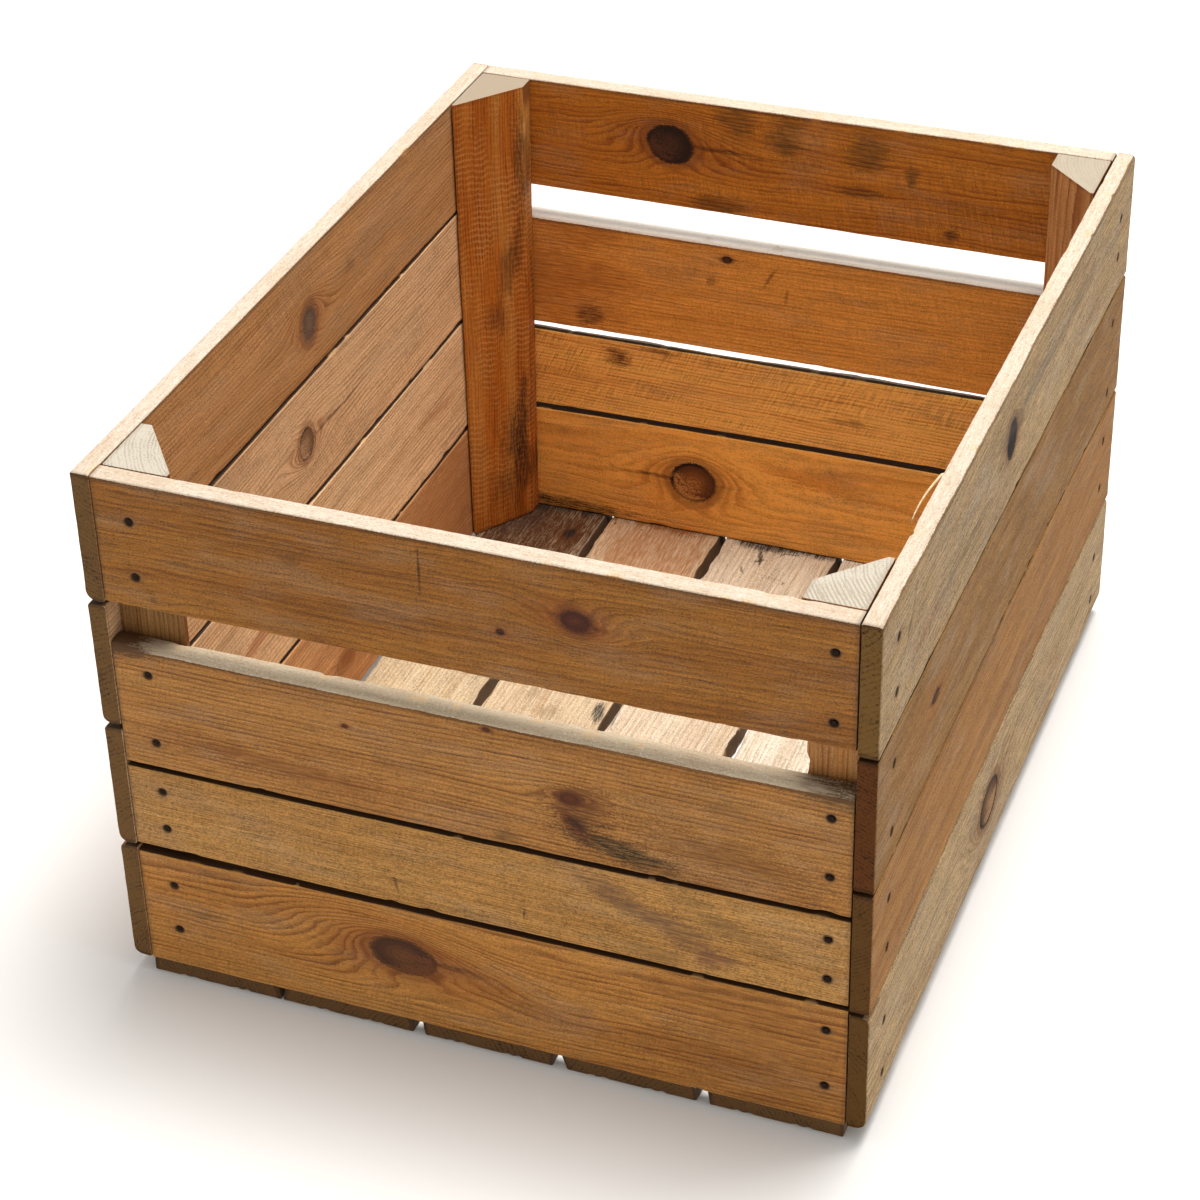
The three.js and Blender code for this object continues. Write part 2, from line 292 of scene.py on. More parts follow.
def post_outline(points, kind_corner):
    """The five corners of a post's section: at the crate's corner, along the end wall, and on round."""
    top = points[points[:, 0] > points[:, 0].max() - 0.05, 1:]
    corners = np.unique(np.round(top, 2), axis=0)
    middle = corners.mean(0)
    order = np.argsort(np.arctan2(corners[:, 1] - middle[1], corners[:, 0] - middle[0]))
    corners = corners[order]
    first = int(np.argmax(corners @ np.array(kind_corner)))
    corners = np.roll(corners, -first, axis=0)
    if abs(corners[1, 1] - corners[0, 1]) > 1:
        corners = np.roll(corners[::-1], 1, axis=0)
    return corners


def ruled_section(u, w, outline):
    """A post's section, ruled between the line along the end wall and the two across from it."""
    corner, along_end, blunt, flat, along_side = outline
    near = corner + u[:, None] * (along_end - corner)
    to_flat = along_side + (u / POST_FLAT)[:, None] * (flat - along_side)
    to_blunt = flat + ((u - POST_FLAT) / (1 - POST_FLAT))[:, None] * (blunt - flat)
    far = np.where((u < POST_FLAT)[:, None], to_flat, to_blunt)
    return near + w[:, None] * (far - near)


def nail_dimples(x, y, z, outer, nails):
    """Turns the lattice lines round each nail into circles and presses the wood in under its head."""
    iron = np.zeros(len(x))
    for nail_x, nail_y in nails:
        across, up = x - nail_x, y - nail_y
        square = np.maximum(np.abs(across), np.abs(up))
        circle = np.hypot(across, up)
        share = np.where(circle > 0, square / np.maximum(circle, 1e-9), 1)
        strength = (1 - smooth_step(*ROUND_REACH, square)) * outer
        x = x + across * (share - 1) * strength
        y = y + up * (share - 1) * strength
        z = z - np.interp(square, DIMPLE_REACH, DIMPLE_DEPTH) * outer
        ring = np.exp(-(((square - 2.2) / 0.9) ** 2))
        tail = 0.75 * np.exp(-np.abs(across) / 4 - (up / 0.7) ** 2)
        halo = 0.35 * np.exp(-((circle / 4.5) ** 2))
        iron = np.maximum(iron, np.maximum(ring, tail + halo) * outer)
    return x, y, z, iron


def waney_edges(x, y, w, nominal_y, limits, wood, seed):
    """Lets the edges run unevenly and flare out below, where a board keeps the tree's outside."""
    flares = wood.get("flare", (0, 0))
    at_front = smooth_step(x.max() - FRONT_WANE[1], x.max() - FRONT_WANE[0], x)
    edges = zip((-1, 1), limits, flares, wood.get("front_flare", flares))
    for number, (outwards, limit, flare, front_flare) in enumerate(edges):
        near = 1 - smooth_step(0, 12, np.abs(nominal_y - limit))
        coarse = line_noise(x, 11, seed + 20 + number) ** 2
        fine = line_noise(x, 3.2, seed + 30 + number)
        bite = wood.get("jagged", 0) * (1.6 * coarse + 0.6 * fine - 0.8)
        bark = value_noise(np.stack([x / 4, w * 3, w * 0], 1), seed + 40 + number)
        slope = (flare + (front_flare - flare) * at_front) * (1 - w) * (0.85 + 0.3 * bark)
        y = y + outwards * near * (slope - bite * w)
    return y


def torn_corner(x, y, outline, tear):
    """Tears the arris of a post that lies along the end wall back over part of its height."""
    place_x, reach, depth = tear
    ragged = 0.8 + 0.4 * line_noise(x, 5, 77)
    share = 1 - smooth_step(reach - 6, reach, np.abs(x - place_x))
    corner, along_end = outline[0, 0], outline[1, 0]
    toward = (y - corner) / (along_end - corner)
    inwards = np.sign(corner - along_end)
    return y + inwards * depth * ragged * share * smooth_step(0.55, 1, toward)


def worn_ends(x, y, z, half_length, outline, seed):
    """The ends of a piece: a worn arris, and the roughness that a saw leaves."""
    from_end = half_length - np.abs(x)
    bevel = np.clip(END_ARRIS - from_end, 0, None)
    uneven = 0.5 + value_noise(np.stack([y / 2.2, z / 2.2, np.sign(x)], 1), seed + 2)
    draw_in = (END_ARRIS - np.sqrt(np.clip(END_ARRIS**2 - bevel**2, 0, None))) * uneven
    (middle_y, middle_z), (width, thickness) = outline.mean(0), np.ptp(outline, axis=0)
    y = y - np.clip((y - middle_y) / (width / 2), -1, 1) * draw_in
    z = z - np.clip((z - middle_z) / (thickness / 2), -1, 1) * draw_in
    rough = value_noise(np.stack([y / 1.4, z / 1.4, np.sign(x)], 1), seed + 3)
    x = x - np.sign(x) * (from_end < 1e-6) * END_ROUGHNESS * rough
    return x, y, z, from_end


def timber_mesh(name, half_length, outline, edges, wood, seed):
    """The mesh of a board or a post. outline is its section, edges how a board's width changes."""
    dice = np.random.default_rng(seed)
    is_board = edges is not None
    nails = wood.get("nails", [])
    outline = np.array(outline, float)
    low, high = outline.min(0), outline.max(0)
    width, thickness = high - low

    nail_xs = sorted({nail_x for nail_x, _ in nails})
    xs = stations(-half_length, half_length, STEP_ALONG, END_LINES, nail_xs, NAIL_LINES)
    if is_board:
        nail_ys = [nail_y for _, nail_y in nails]
        ys = stations(low[0], high[0], STEP_ACROSS, EDGE_LINES, nail_ys, NAIL_LINES)
        zs = stations(low[1], high[1], STEP_THROUGH, FACE_LINES)
        across = (ys - low[0]) / width
        through = (zs - low[1]) / thickness
    else:
        flat_at = (POST_FLAT * width,)
        across = stations(0, width, POST_STEP, POST_LINES, flat_at, POST_FLAT_LINES) / width
        through = stations(0, thickness, POST_STEP, POST_LINES) / thickness

    index, faces = lattice_skin((len(xs), len(across), len(through)))
    x, u, w = xs[index[:, 0]], across[index[:, 1]], through[index[:, 2]]
    if is_board:
        section = np.stack([low[0] + u * width, low[1] + w * thickness], 1)
    else:
        section = ruled_section(u, w, outline)
    section, chips = worn_section(section, x, outline, wood["round"], dice)
    y, z = section[:, 0], section[:, 1]
    if not is_board:
        height_share = (x + half_length) / (2 * half_length)
        y = outline[0, 0] + (y - outline[0, 0]) * (wood["foot"] + (1 - wood["foot"]) * height_share)
        centre_y, centre_z = y.mean(), z.mean()
        if "torn_corner" in wood:
            y = torn_corner(x, y, outline, wood["torn_corner"])
    nominal_y = y.copy()

    # A gentle unevenness of the sawn faces, never proud of the CAD face.
    points = np.stack([x / 70, y / 21, z / 9], 1)
    relief = 0.3 * value_noise(points, seed) + 0.12 * value_noise(points * 5.3, seed + 1)
    if is_board:
        inner_y = 1 - np.abs(2 * u - 1) ** 12
        z = z - np.sign(z) * relief * inner_y * (np.abs(z) > thickness / 2 - 0.6)
    else:
        y = y - (y - centre_y) / width * relief * 2
        z = z - (z - centre_z) / thickness * relief * 2
    x, y, z, from_end = worn_ends(x, y, z, half_length, outline, seed)

    nail_side = wood.get("nail_side", 1)
    nailed_layer = len(through) - 1 if nail_side > 0 else 0
    x, y, z, iron = nail_dimples(x, y, z * nail_side, index[:, 2] == nailed_layer, nails)
    z = z * nail_side

    from_low, from_high = nominal_y - low[0], high[0] - nominal_y
    if is_board:
        places, lower, upper = edges
        low_line, high_line = np.interp(x, places, lower), np.interp(x, places, upper)
        y = low_line + (y - low[0]) / width * (high_line - low_line)
        y = waney_edges(x, y, w, nominal_y, (low[0], high[0]), wood, seed)

    mesh = make_mesh(name, np.stack([x, y, z], 1), faces)
    set_attribute(mesh, "edges", from_end, from_low, from_high)
    set_attribute(mesh, "marks", iron, np.clip(chips, 0, 1), 0)
    return mesh


# ---- formulas in materials ----

def operate(tree, kind, operation, values, output=0):
    """The result of a node that works on fields and plain values."""
    node = tree.nodes.new(kind)
    node.operation = operation
    for slot, value in enumerate(values):
        feed(tree, node.inputs[slot], value)
    return Field(tree, node.outputs[output])


def method(operation, kind="ShaderNodeMath", output=0):
    """A field's method that feeds one node with the field and with what else it is given."""
    return lambda self, *others: operate(self.tree, kind, operation, (self, *others), output)


class Field:
    """A value, vector or colour in a material's node tree, so that formulas can be written out."""

    def __init__(self, tree, socket):
        self.tree = tree
        self.socket = socket

    def __rsub__(self, other):
        return operate(self.tree, "ShaderNodeMath", "SUBTRACT", (other, self))

    __add__ = __radd__ = method("ADD")
    __sub__ = method("SUBTRACT")
    __mul__ = __rmul__ = method("MULTIPLY")
    __truediv__ = method("DIVIDE")
    lowest = method("MINIMUM")
    highest = method("MAXIMUM")
    fraction = method("FRACT")
    size = method("ABSOLUTE")
    sine = method("SINE")
    length = method("LENGTH", "ShaderNodeVectorMath", "Value")
    moved = method("ADD", "ShaderNodeVectorMath")

    def above(self, low, high):
        """0 below low, 1 above high, smooth between."""
        node = self.tree.nodes.new("ShaderNodeMapRange")
        node.interpolation_type = "SMOOTHSTEP"
        feed(self.tree, node.inputs["Value"], self)
        node.inputs["From Min"].default_value = low
        node.inputs["From Max"].default_value = high
        return Field(self.tree, node.outputs["Result"])

    def below(self, low, high):
        """1 below low, 0 above high, smooth between."""
        return 1 - self.above(low, high)

    def parts(self):
        node = self.tree.nodes.new("ShaderNodeSeparateXYZ")
        self.tree.links.new(self.socket, node.inputs[0])
        return [Field(self.tree, output) for output in node.outputs]

    def seen_from(self, place, turn, reach):
        """The vector measured from a place, turned about z, in units of reach along each axis."""
        node = self.tree.nodes.new("ShaderNodeMapping")
        node.vector_type = "TEXTURE"
        for slot, value in enumerate((self, place, (0, 0, turn), reach)):
            feed(self.tree, node.inputs[slot], value)
        return Field(self.tree, node.outputs["Vector"])

    def noise(self, cells, detail=1.0, roughness=0.5, shift=0.0):
        """Noise from about 0 to 1, with cells of the given size along each axis."""
        node = self.tree.nodes.new("ShaderNodeTexNoise")
        scaled = self.seen_from((shift, shift * 0.7, -shift), 0, cells)
        self.tree.links.new(scaled.socket, node.inputs["Vector"])
        node.inputs["Scale"].default_value = 1
        node.inputs["Detail"].default_value = detail
        node.inputs["Roughness"].default_value = roughness
        return Field(self.tree, node.outputs[0])


def vector(tree, *parts):
    """A vector from numbers and fields."""
    node = tree.nodes.new("ShaderNodeCombineXYZ")
    for socket, value in zip(node.inputs, parts):
        feed(tree, socket, value)
    return Field(tree, node.outputs[0])


def feed(tree, socket, value):
    """Links a field to a socket, or sets the socket to a plain value."""
    if isinstance(value, Field):
        tree.links.new(value.socket, socket)
    else:
        socket.default_value = value


def mix(share, first, second, blend="MIX"):
    """Between two colours; a colour is a Field or a hex string."""
    tree = next(value.tree for value in (share, first, second) if isinstance(value, Field))
    node = tree.nodes.new("ShaderNodeMix")
    node.data_type = "RGBA"
    node.blend_type = blend
    feed(tree, node.inputs[0], share)
    feed(tree, node.inputs[6], colour(first))
    feed(tree, node.inputs[7], colour(second))
    return Field(tree, node.outputs[2])


def colour(value):
    """A linear colour from a hex string, or a Field as it is."""
    if isinstance(value, Field):
        return value
    channels = [int(value[i:i + 2], 16) / 255 for i in (1, 3, 5)]
    linear = [c / 12.92 if c <= 0.04045 else ((c + 0.055) / 1.055) ** 2.4 for c in channels]
    return (*linear, 1)


def new_material(name):
    material = bpy.data.materials.new(name)
    material.use_nodes = True
    tree = material.node_tree
    return material, tree, tree.nodes["Principled BSDF"]


def object_millimetres(tree):
    coordinates = tree.nodes.new("ShaderNodeTexCoord")
    scale = tree.nodes.new("ShaderNodeVectorMath")
    scale.operation = "SCALE"
    tree.links.new(coordinates.outputs["Object"], scale.inputs[0])
    scale.inputs["Scale"].default_value = 1 / MM
    return Field(tree, scale.outputs[0])


def attribute_parts(tree, name):
    node = tree.nodes.new("ShaderNodeAttribute")
    node.attribute_name = name
    return Field(tree, node.outputs["Vector"]).parts()


# ---- pine ----

IRON = "#2c1a0e"
GREY = "#9c8a72"

# What a piece of pine looks like unless its own description says otherwise. The description also gives
# the colours of its early wood, of its late wood, and of its palest fibres.
PINE = {
    "spacing": 2.4,  # between growth rings
    "contrast": 0.75,
    "pith": (-95, -40),  # where the log's heart runs, from the middle of the board
    "taper": 0.012,
    "waver": 2.4,  # how far the rings wander
    "grey": 0.2,  # weathering
    "tan": 0.25,  # broad streaks of a paler tone
    "grain": 1.0,  # how strongly the fibres show
    "torn": 0.25,  # how strongly torn grain shows
    "torn_spots": (),
    "torn_tone": "#95602f",
    "torn_dark": "#5b3014",
    "fresh": 0.0,  # how far down its faces the sawn upper edge stays pale
    "sawn_edge": "#c6b8a6",
    "edge_wear": 1.0,
    "smudges": (),  # dirt and painted shade on a pale upper edge
    "side": "#2c180b",  # painted shade on the narrow faces between two boards
    "far_side": None,  # a painted highlight on the outer part of the upper one, where light comes through the gap
    "outside": None,  # a tint that takes the outer face down to a weathered tone from colours painted bright as light inside the crate
    "stains": (),
    "knots": (),
    "core": ("#55301c", "#2e170d", "#55301c"),  # a knot's middle, its rings and rim, and its lit side
    "core_soft": 0.06,
    "outline": 0.9,
    "resin": "#8f4415",
    "end_grain": "#6a4828",
    "end_dark": "#38220f",
    "end_rings": 0.4,
    "relief": 0.22,
    "sawn": 0.5,  # how strongly the saw's strokes show, and how they lie to the grain
    "saw_angle": 80,
    "scuffs": 0.0,  # bright scratches along the same strokes
    "ridges": 0.0,  # even ridges that the saw left across the grain
    "saw_marks": 0.0,  # ridges on the end grain
    "gloss": 0.3,
}
FAR = 1e4
RIDGE_TURNS = 2 * math.pi / 3.9  # a ridge every 3.9 mm


@dataclass
class RaggedSpot:
    """A ragged spot on a piece of wood, used for stains and for painted shade: its middle, half its length
    and height, and its colour.
    """
    x: float
    y: float
    length: float
    height: float
    colour: str = "#3a2e26"
    strength: float = 0.5
    turn: float = 0  # degrees
    speckle: float = 1.2
    solid: float = 0.3

    def distance(self, field):
        """How far off each place is, in half lengths and half heights of the spot."""
        reach = (self.length, self.height, FAR)
        return field.seen_from((self.x, self.y, 0), math.radians(self.turn), reach).length()


@dataclass
class Knot:
    """A knot: its middle, half its length and height, and how long a tail of resin it has."""
    x: float
    y: float
    length: float
    height: float
    tail: float
    tail_shift: float = 0
    turn: float = 0  # degrees
    bend: float = 1  # how much the grain parts round it
    swell: float = 0.4
    reach: float = 2.6


def knot_fields(place, warped, knots):
    """What the knots do to the grain and its colour, as fields joined over the knots of a piece."""
    found = {}

    def join(name, how, value):
        found[name] = how(found[name], value) if name in found else value

    for knot in knots:
        middle, turn = (knot.x, knot.y, 0), math.radians(knot.turn)
        length, height = knot.length, knot.height
        core = place.seen_from(middle, turn, (length, height, FAR))
        away = core.length()
        stretched = place.seen_from(middle, turn / 2, (length * 2.4, height, FAR))
        distance = stretched.length()
        parting = stretched.parts()[1] * height / (distance * distance + 0.4)
        join("bend", Field.__add__, parting * knot.bend)
        spread = (length * knot.reach * 1.7, height * knot.reach, FAR)
        wide = place.seen_from(middle, turn, spread).length()
        swell = wide.below(0, 1) * (knot.swell * height) + away.below(0.9, 2.2) * (0.3 * height)
        join("swell", Field.__add__, swell)
        join("glow", Field.highest, wide.below(0.1, 0.8))
        behind = (knot.x + knot.tail_shift, knot.y, 0)
        needle = warped.seen_from(behind, turn / 3, (knot.tail, 0.16 * height + 0.5, FAR)).length()
        join("streak", Field.highest, needle.below(0.2, 1) * away.above(0.9, 1.1))
        join("nearest", Field.lowest, away)
        join("lit", Field.lowest, core.parts()[0] * 0.5 - core.parts()[1] * 0.6)
    return found


def knot_wood(wood, look, knots, noises):
    """The reddish wood round the knots, their streaks and their cores."""
    patch, quick, fibre, speck = noises
    nearest = knots["nearest"]
    middle, dark, lit_side = look["core"]
    wood = mix(knots["glow"] * (0.15 + speck * 0.5), wood, look["resin"])
    wood = mix(knots["streak"] * fibre.above(0.3, 0.58) * 0.8, wood, "#431a0a")
    ragged = nearest + (speck - 0.5) * 0.3 + (quick - 0.5) * 0.12
    rings = (nearest * 4.5 + (speck - 0.5) * 0.7).fraction().above(0.35, 0.95)
    core = mix(ragged.above(0, 0.95), middle, dark)
    core = mix(rings * 0.35, core, dark)
    lit = knots["lit"] + (quick - 0.5) * 2.2 + (speck - 0.5) * 1.6
    core = mix(lit.above(0.0, 0.45), core, lit_side)
    core = mix(speck.below(0.34, 0.46) * 0.6, core, "#180b06")
    soft = look["core_soft"]
    wood = mix((nearest - 1.25).size().below(0.05, 0.3) * 0.35, wood, "#5c2a10")
    wood = mix(ragged.below(1 - soft, 1 + soft), wood, core)
    rim = (ragged - 1).size().below(0.03, 0.13) * (0.45 + patch.above(0.4, 0.6) * 0.55)
    return mix(rim * look["outline"], wood, "#1c0c06")


def stained_and_shaded(wood, stains, warped, noises):
    """Ragged spots of dirt, damp and lichen, and patches of painted shade."""
    patch, quick, fibre, speck = noises
    broken = speck.above(0.35, 0.6) * 0.5 + fibre.below(0.4, 0.6) * 0.4
    outline = (patch - 0.5) * 1.6 + (quick - 0.5) * 1.2
    for stain in stains:
        ragged = outline + (speck - 0.5) * stain.speckle + (fibre - 0.5) * 0.8
        inside = (stain.distance(warped) + ragged).below(0.3, 1.25)
        wet = inside * (stain.solid + broken * (1.3 - stain.solid))
        wood = mix((wet * stain.strength).lowest(1), wood, stain.colour)
    return wood


def torn_grain(wood, look, torn, stroke, noises):
    """Short slanting flecks, dark and light, where the saw tore the grain."""
    _, quick, fibre, speck = noises
    wood = mix(torn * (0.25 + (quick - 0.3) * 0.5), wood, look["torn_tone"])
    wood = mix(stroke.above(0.52, 0.68) * torn * 0.75, wood, look["torn_dark"])
    wood = mix(stroke.below(0.34, 0.47) * torn * 0.4, wood, look["pale"])
    return mix((speck * fibre).above(0.36, 0.42) * 0.5, wood, look["torn_dark"])


def upper_edge(wood, look, line, z, from_high, jag, warped, noises):
    """A sawn upper edge that has stayed pale, or else the narrow face below the next board, painted dark as
    shade.
    """
    patch, _, fibre, speck = noises
    fresh, worn = look["fresh"], look["edge_wear"]
    if not fresh:
        # Painted shade: the narrow face along the upper edge is painted dark, as the shade in the gap.
        upper = look["side"]
        # A painted highlight on the outer part of the narrow face, where light comes through the gap.
        if look["far_side"]:
            upper = mix((z + jag * 0.6).above(-2.6, -1.2), upper, look["far_side"])
        return mix((from_high + jag * 0.1).below(0.1, 0.3) * 0.92, wood, upper)
    wood = mix((from_high + jag * 0.6).below(fresh + 0.3, fresh + 3.0) * 0.6, wood, "#3f2612")
    mottle = speck * 0.6 + fibre * 0.4
    sawn = mix(line * 0.25 * worn, look["sawn_edge"], "#c19c74")
    sawn = mix(patch.above(0.45, 0.7) * 0.35 * worn, sawn, "#b59a7c")
    sawn = mix(mottle.above(0.5, 0.62) * 0.6 * worn, sawn, "#a2836a")
    sawn = mix(mottle.below(0.36, 0.44) * 0.5, sawn, "#ece2d4")
    wood = mix((from_high + jag * 0.5).below(fresh, fresh + 0.35), wood, sawn)
    return stained_and_shaded(wood, look["smudges"], warped, noises)


def end_grain(look, line, y, z, edge, stroke, noises):
    """The wood of the two ends."""
    patch, quick, _, speck = noises
    dark = look["end_dark"]
    mottle = (speck - 0.5) * 1.6 + (stroke - 0.5) * 1.2 + (patch - 0.5) * 1.2
    wood = mix((line * look["end_rings"] + mottle).above(0, 0.9), look["end_grain"], dark)
    wood = mix(edge.below(0.4, 2.2) * 0.5, wood, dark)
    if look["saw_marks"]:
        ridge = ((y * 0.75 + z * 0.5) * 3.4 + (speck - 0.5) * 2).sine().above(-0.2, 0.7)
        sawn_part = (y * 0.4 - z * 0.6 + (quick - 0.5) * 6).above(-1, 3)
        wood = mix(ridge * sawn_part * look["saw_marks"], wood, dark)
    return wood


def pine(name, look, seed):
    """Pine as sawn from one place in one log, with its own knots, stains and wear."""
    look = {**PINE, **look}
    material, tree, shader = new_material(name)
    place = object_millimetres(tree)
    shift = 137.0 * seed
    x, y, z = place.parts()
    from_end, from_low, from_high = attribute_parts(tree, "edges")
    iron, chip, _ = attribute_parts(tree, "marks")
    edge = from_low.lowest(from_high)

    slow = place.noise((260, 46, 46), 1, 0.5, shift)
    quick = place.noise((52, 8, 8), 2, 0.5, shift + 11)
    patch = place.noise((60, 20, 20), 3, 0.6, shift + 23)
    fibre = place.noise((9, 0.8, 0.8), 2, 0.65, shift + 31)
    speck = place.noise((1.2, 0.8, 0.8), 2, 0.7, shift + 43)
    noises = (patch, quick, fibre, speck)
    along_saw = place.seen_from((0, 0, 0), math.radians(look["saw_angle"]), (1, 1, 1))
    saw = along_saw.noise((14, 0.9, 14), 1, 0.5, shift + 57)
    stroke = place.seen_from((0, 0, 0), 0.9, (1, 1, 1)).noise((2.8, 0.9, 0.9), 1, 0.5, shift + 51)
    warped = place.moved(vector(tree, 0, (quick - 0.5) * 9 + (speck - 0.5) * 1.2))

    # Growth rings: shells round the log's heart, which bend and swell round the knots.
    knots = knot_fields(place, warped, look["knots"])
    pith_y, pith_z = look["pith"]
    grown_y = y - knots["bend"] if knots else y
    radius = vector(tree, grown_y - pith_y, z - pith_z).length()
    wander = (slow - 0.5) * (2.4 * look["waver"]) + (quick - 0.5) * look["waver"]
    depth = radius + x * look["taper"] + wander + (fibre - 0.5) * 0.5 + (speck - 0.5) * 0.4
    if knots:
        depth = depth + knots["swell"]
    ring = (depth / look["spacing"]).fraction()
    line = ring.above(0.3, 0.9) * ring.below(0.92, 1.0)
    ring_noise = vector(tree, depth, x * 0.02, z * 0.02)
    strength = ring_noise.noise((1.4 * look["spacing"], 1, 1), 1, 0.5, shift)
    line = line * (0.25 + strength.above(0.3, 0.65) * 0.75)
    if knots:
        line = (line * (1 + knots["glow"] * 0.9)).lowest(1)
    wood = mix(line * look["contrast"], look["early"], look["late"])

    # Broad streaks, weathering, and the light and dark of single fibres.
    hair = vector(tree, x * 0.03, depth * 1.1, y * 0.25).noise((1, 1, 1), 2, 0.6, shift + 3)
    band = vector(tree, x * 0.004, depth * 0.09).noise((1, 1, 1), 2, 0.6, shift + 5)
    wood = mix(band.above(0.42, 0.7) * look["tan"], wood, look["pale"])
    wood = mix(band.below(0.3, 0.5) * look["tan"], wood, look["late"])
    wood = mix(patch.above(0.45, 0.7) * look["grey"], wood, GREY)
    sawn_here = (quick * 0.5 + slow * 0.5).above(0.42, 0.58) * look["sawn"]
    fine = (hair - 0.5) * (0.3 + patch * 0.8) + (fibre - 0.5) * 0.7 + (speck - 0.5) * 1.4
    shade = 1 + fine * look["grain"] + (saw - 0.5) * 0.8 * sawn_here
    wood = mix(1, wood, shade, "MULTIPLY")

    torn_here = (patch * quick).above(0.3, 0.4)
    for spot in look["torn_spots"]:
        near = (spot.distance(warped) + (patch - 0.5) * 0.8).below(0.4, 1.1)
        torn_here = torn_here.highest(near)
    if knots:
        torn_here = torn_here.highest(knots["glow"] * 0.7)
    torn = torn_here * look["torn"]
    wood = torn_grain(wood, look, torn, stroke, noises)

    if look["ridges"]:
        wave = (x + y * 0.12 + (quick - 0.5) * 9) * RIDGE_TURNS + (speck - 0.5) * 3
        ridge = wave.sine().above(0.0, 0.9) * patch.above(0.35, 0.6) * (0.35 + fibre * 0.7)
        wood = mix(ridge * look["ridges"], wood, look["pale"])
    if look["scuffs"]:
        scuff = (saw.above(0.52, 0.7) + speck.above(0.55, 0.7) * 0.4) * quick.above(0.42, 0.55)
        wood = mix(scuff.lowest(1) * look["scuffs"], wood, look["pale"])
    if knots:
        wood = knot_wood(wood, look, knots, noises)
    wood = stained_and_shaded(wood, look["stains"], warped, noises)
    # The inner faces keep colours painted bright and orange, standing in for light inside the crate; the
    # outer face is multiplied down to a weathered tone.
    if look["outside"]:
        wood = mix(z.above(-1, 1), wood, look["outside"], "MULTIPLY")

    # Edges: a thin pale arris of painted highlight and wear, narrow faces between boards painted dark as
    # shade, and pale sawn upper edges.
    jag = (speck - 0.5) * 1.8 + (quick - 0.5) * 2.2
    # Painted highlight and wear: a thin pale line along every arris.
    wood = mix((edge + jag * 0.3).below(0.3, 1.2) * 0.3, wood, look["pale"])
    # Painted shade: the narrow face along the lower edge is painted dark, as the shade in the gap.
    wood = mix((from_low + jag * 0.1).below(0.1, 0.3) * 0.92, wood, look["side"])
    wood = upper_edge(wood, look, line, z, from_high, jag, warped, noises)
    wood = mix(chip.above(0.35, 0.8) * 0.3 * edge.below(0.2, 1.4), wood, "#d9b07c")

    # End grain, and the stain that iron leaves round the nails.
    end_wood = end_grain(look, line, y, z, edge, stroke, noises)
    wood = mix(from_end.below(0.15, 0.45), wood, end_wood)
    wood = mix((from_end + jag).below(0.5, 3.0) * from_end.above(0.3, 0.5) * 0.35, wood, "#4a2f1a")
    wood = mix(iron.above(0.04, 0.4) * 0.3, wood, "#6a4a30")
    wood = mix((iron + (speck - 0.5) * 0.5).above(0.4, 0.95) * 0.75, wood, IRON)

    height = fibre * 0.6 + speck * 0.7 + stroke * torn * 1.2 + saw * sawn_here * 0.8 - line * 0.35
    dull = 0.62 + speck * 0.25 + torn * 0.1
    finish_surface(tree, shader, wood, dull, look["gloss"], height, look["relief"])
    return material


def finish_surface(tree, shader, tone, dull, gloss, height, relief):
    """Gives a shader its colour, roughness and gloss, and a relief as deep as given in millimetres."""
    bump = tree.nodes.new("ShaderNodeBump")
    bump.inputs["Strength"].default_value = 1
    bump.inputs["Distance"].default_value = relief * MM
    feed(tree, bump.inputs["Height"], height)
    feed(tree, shader.inputs["Base Color"], tone)
    feed(tree, shader.inputs["Roughness"], dull)
    feed(tree, shader.inputs["Normal"], Field(tree, bump.outputs["Normal"]))
    shader.inputs["Specular IOR Level"].default_value = gloss


def nail_steel(seed):
    """Old steel: almost black, with rust and a worn shine where the hammer struck."""
    material, tree, shader = new_material(f"nail_steel_{seed}")
    place = object_millimetres(tree)
    shift = 31.0 * seed
    mottle = place.noise((0.8, 0.8, 0.8), 3, 0.6, shift)
    broad = place.noise((2.4, 2.4, 2.4), 1, 0.5, shift + 5)
    metal = mix(broad.above(0.4, 0.65) * 0.5, "#150f0a", "#2e231a")
    metal = mix(mottle.above(0.46, 0.62) * 0.7, metal, "#3d2010")
    shader.inputs["Metallic"].default_value = 0.15
    finish_surface(tree, shader, metal, 0.65 + mottle * 0.3, 0.15, mottle, 0.12)
    return material


# ---- the pieces of wood ----

def add_object(name, mesh, matrix, material, node=None):
    """A piece that rides on the crate, and takes the place of its CAD node where it has one."""
    piece = bpy.data.objects.new(name, mesh)
    bpy.context.scene.collection.objects.link(piece)
    piece.matrix_world = matrix
    mesh.materials.append(material)
    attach(piece, BODY)
    if node:
        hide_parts(node)


def add_timber(node, matrix, half_length, outline, edges, wood, seed):
    """The board or post that takes the place of a CAD node."""
    name = f"{node}_pine"
    mesh = timber_mesh(name, half_length, outline, edges, wood, seed)
    add_object(name, mesh, matrix, pine(node, wood["look"], seed), node)


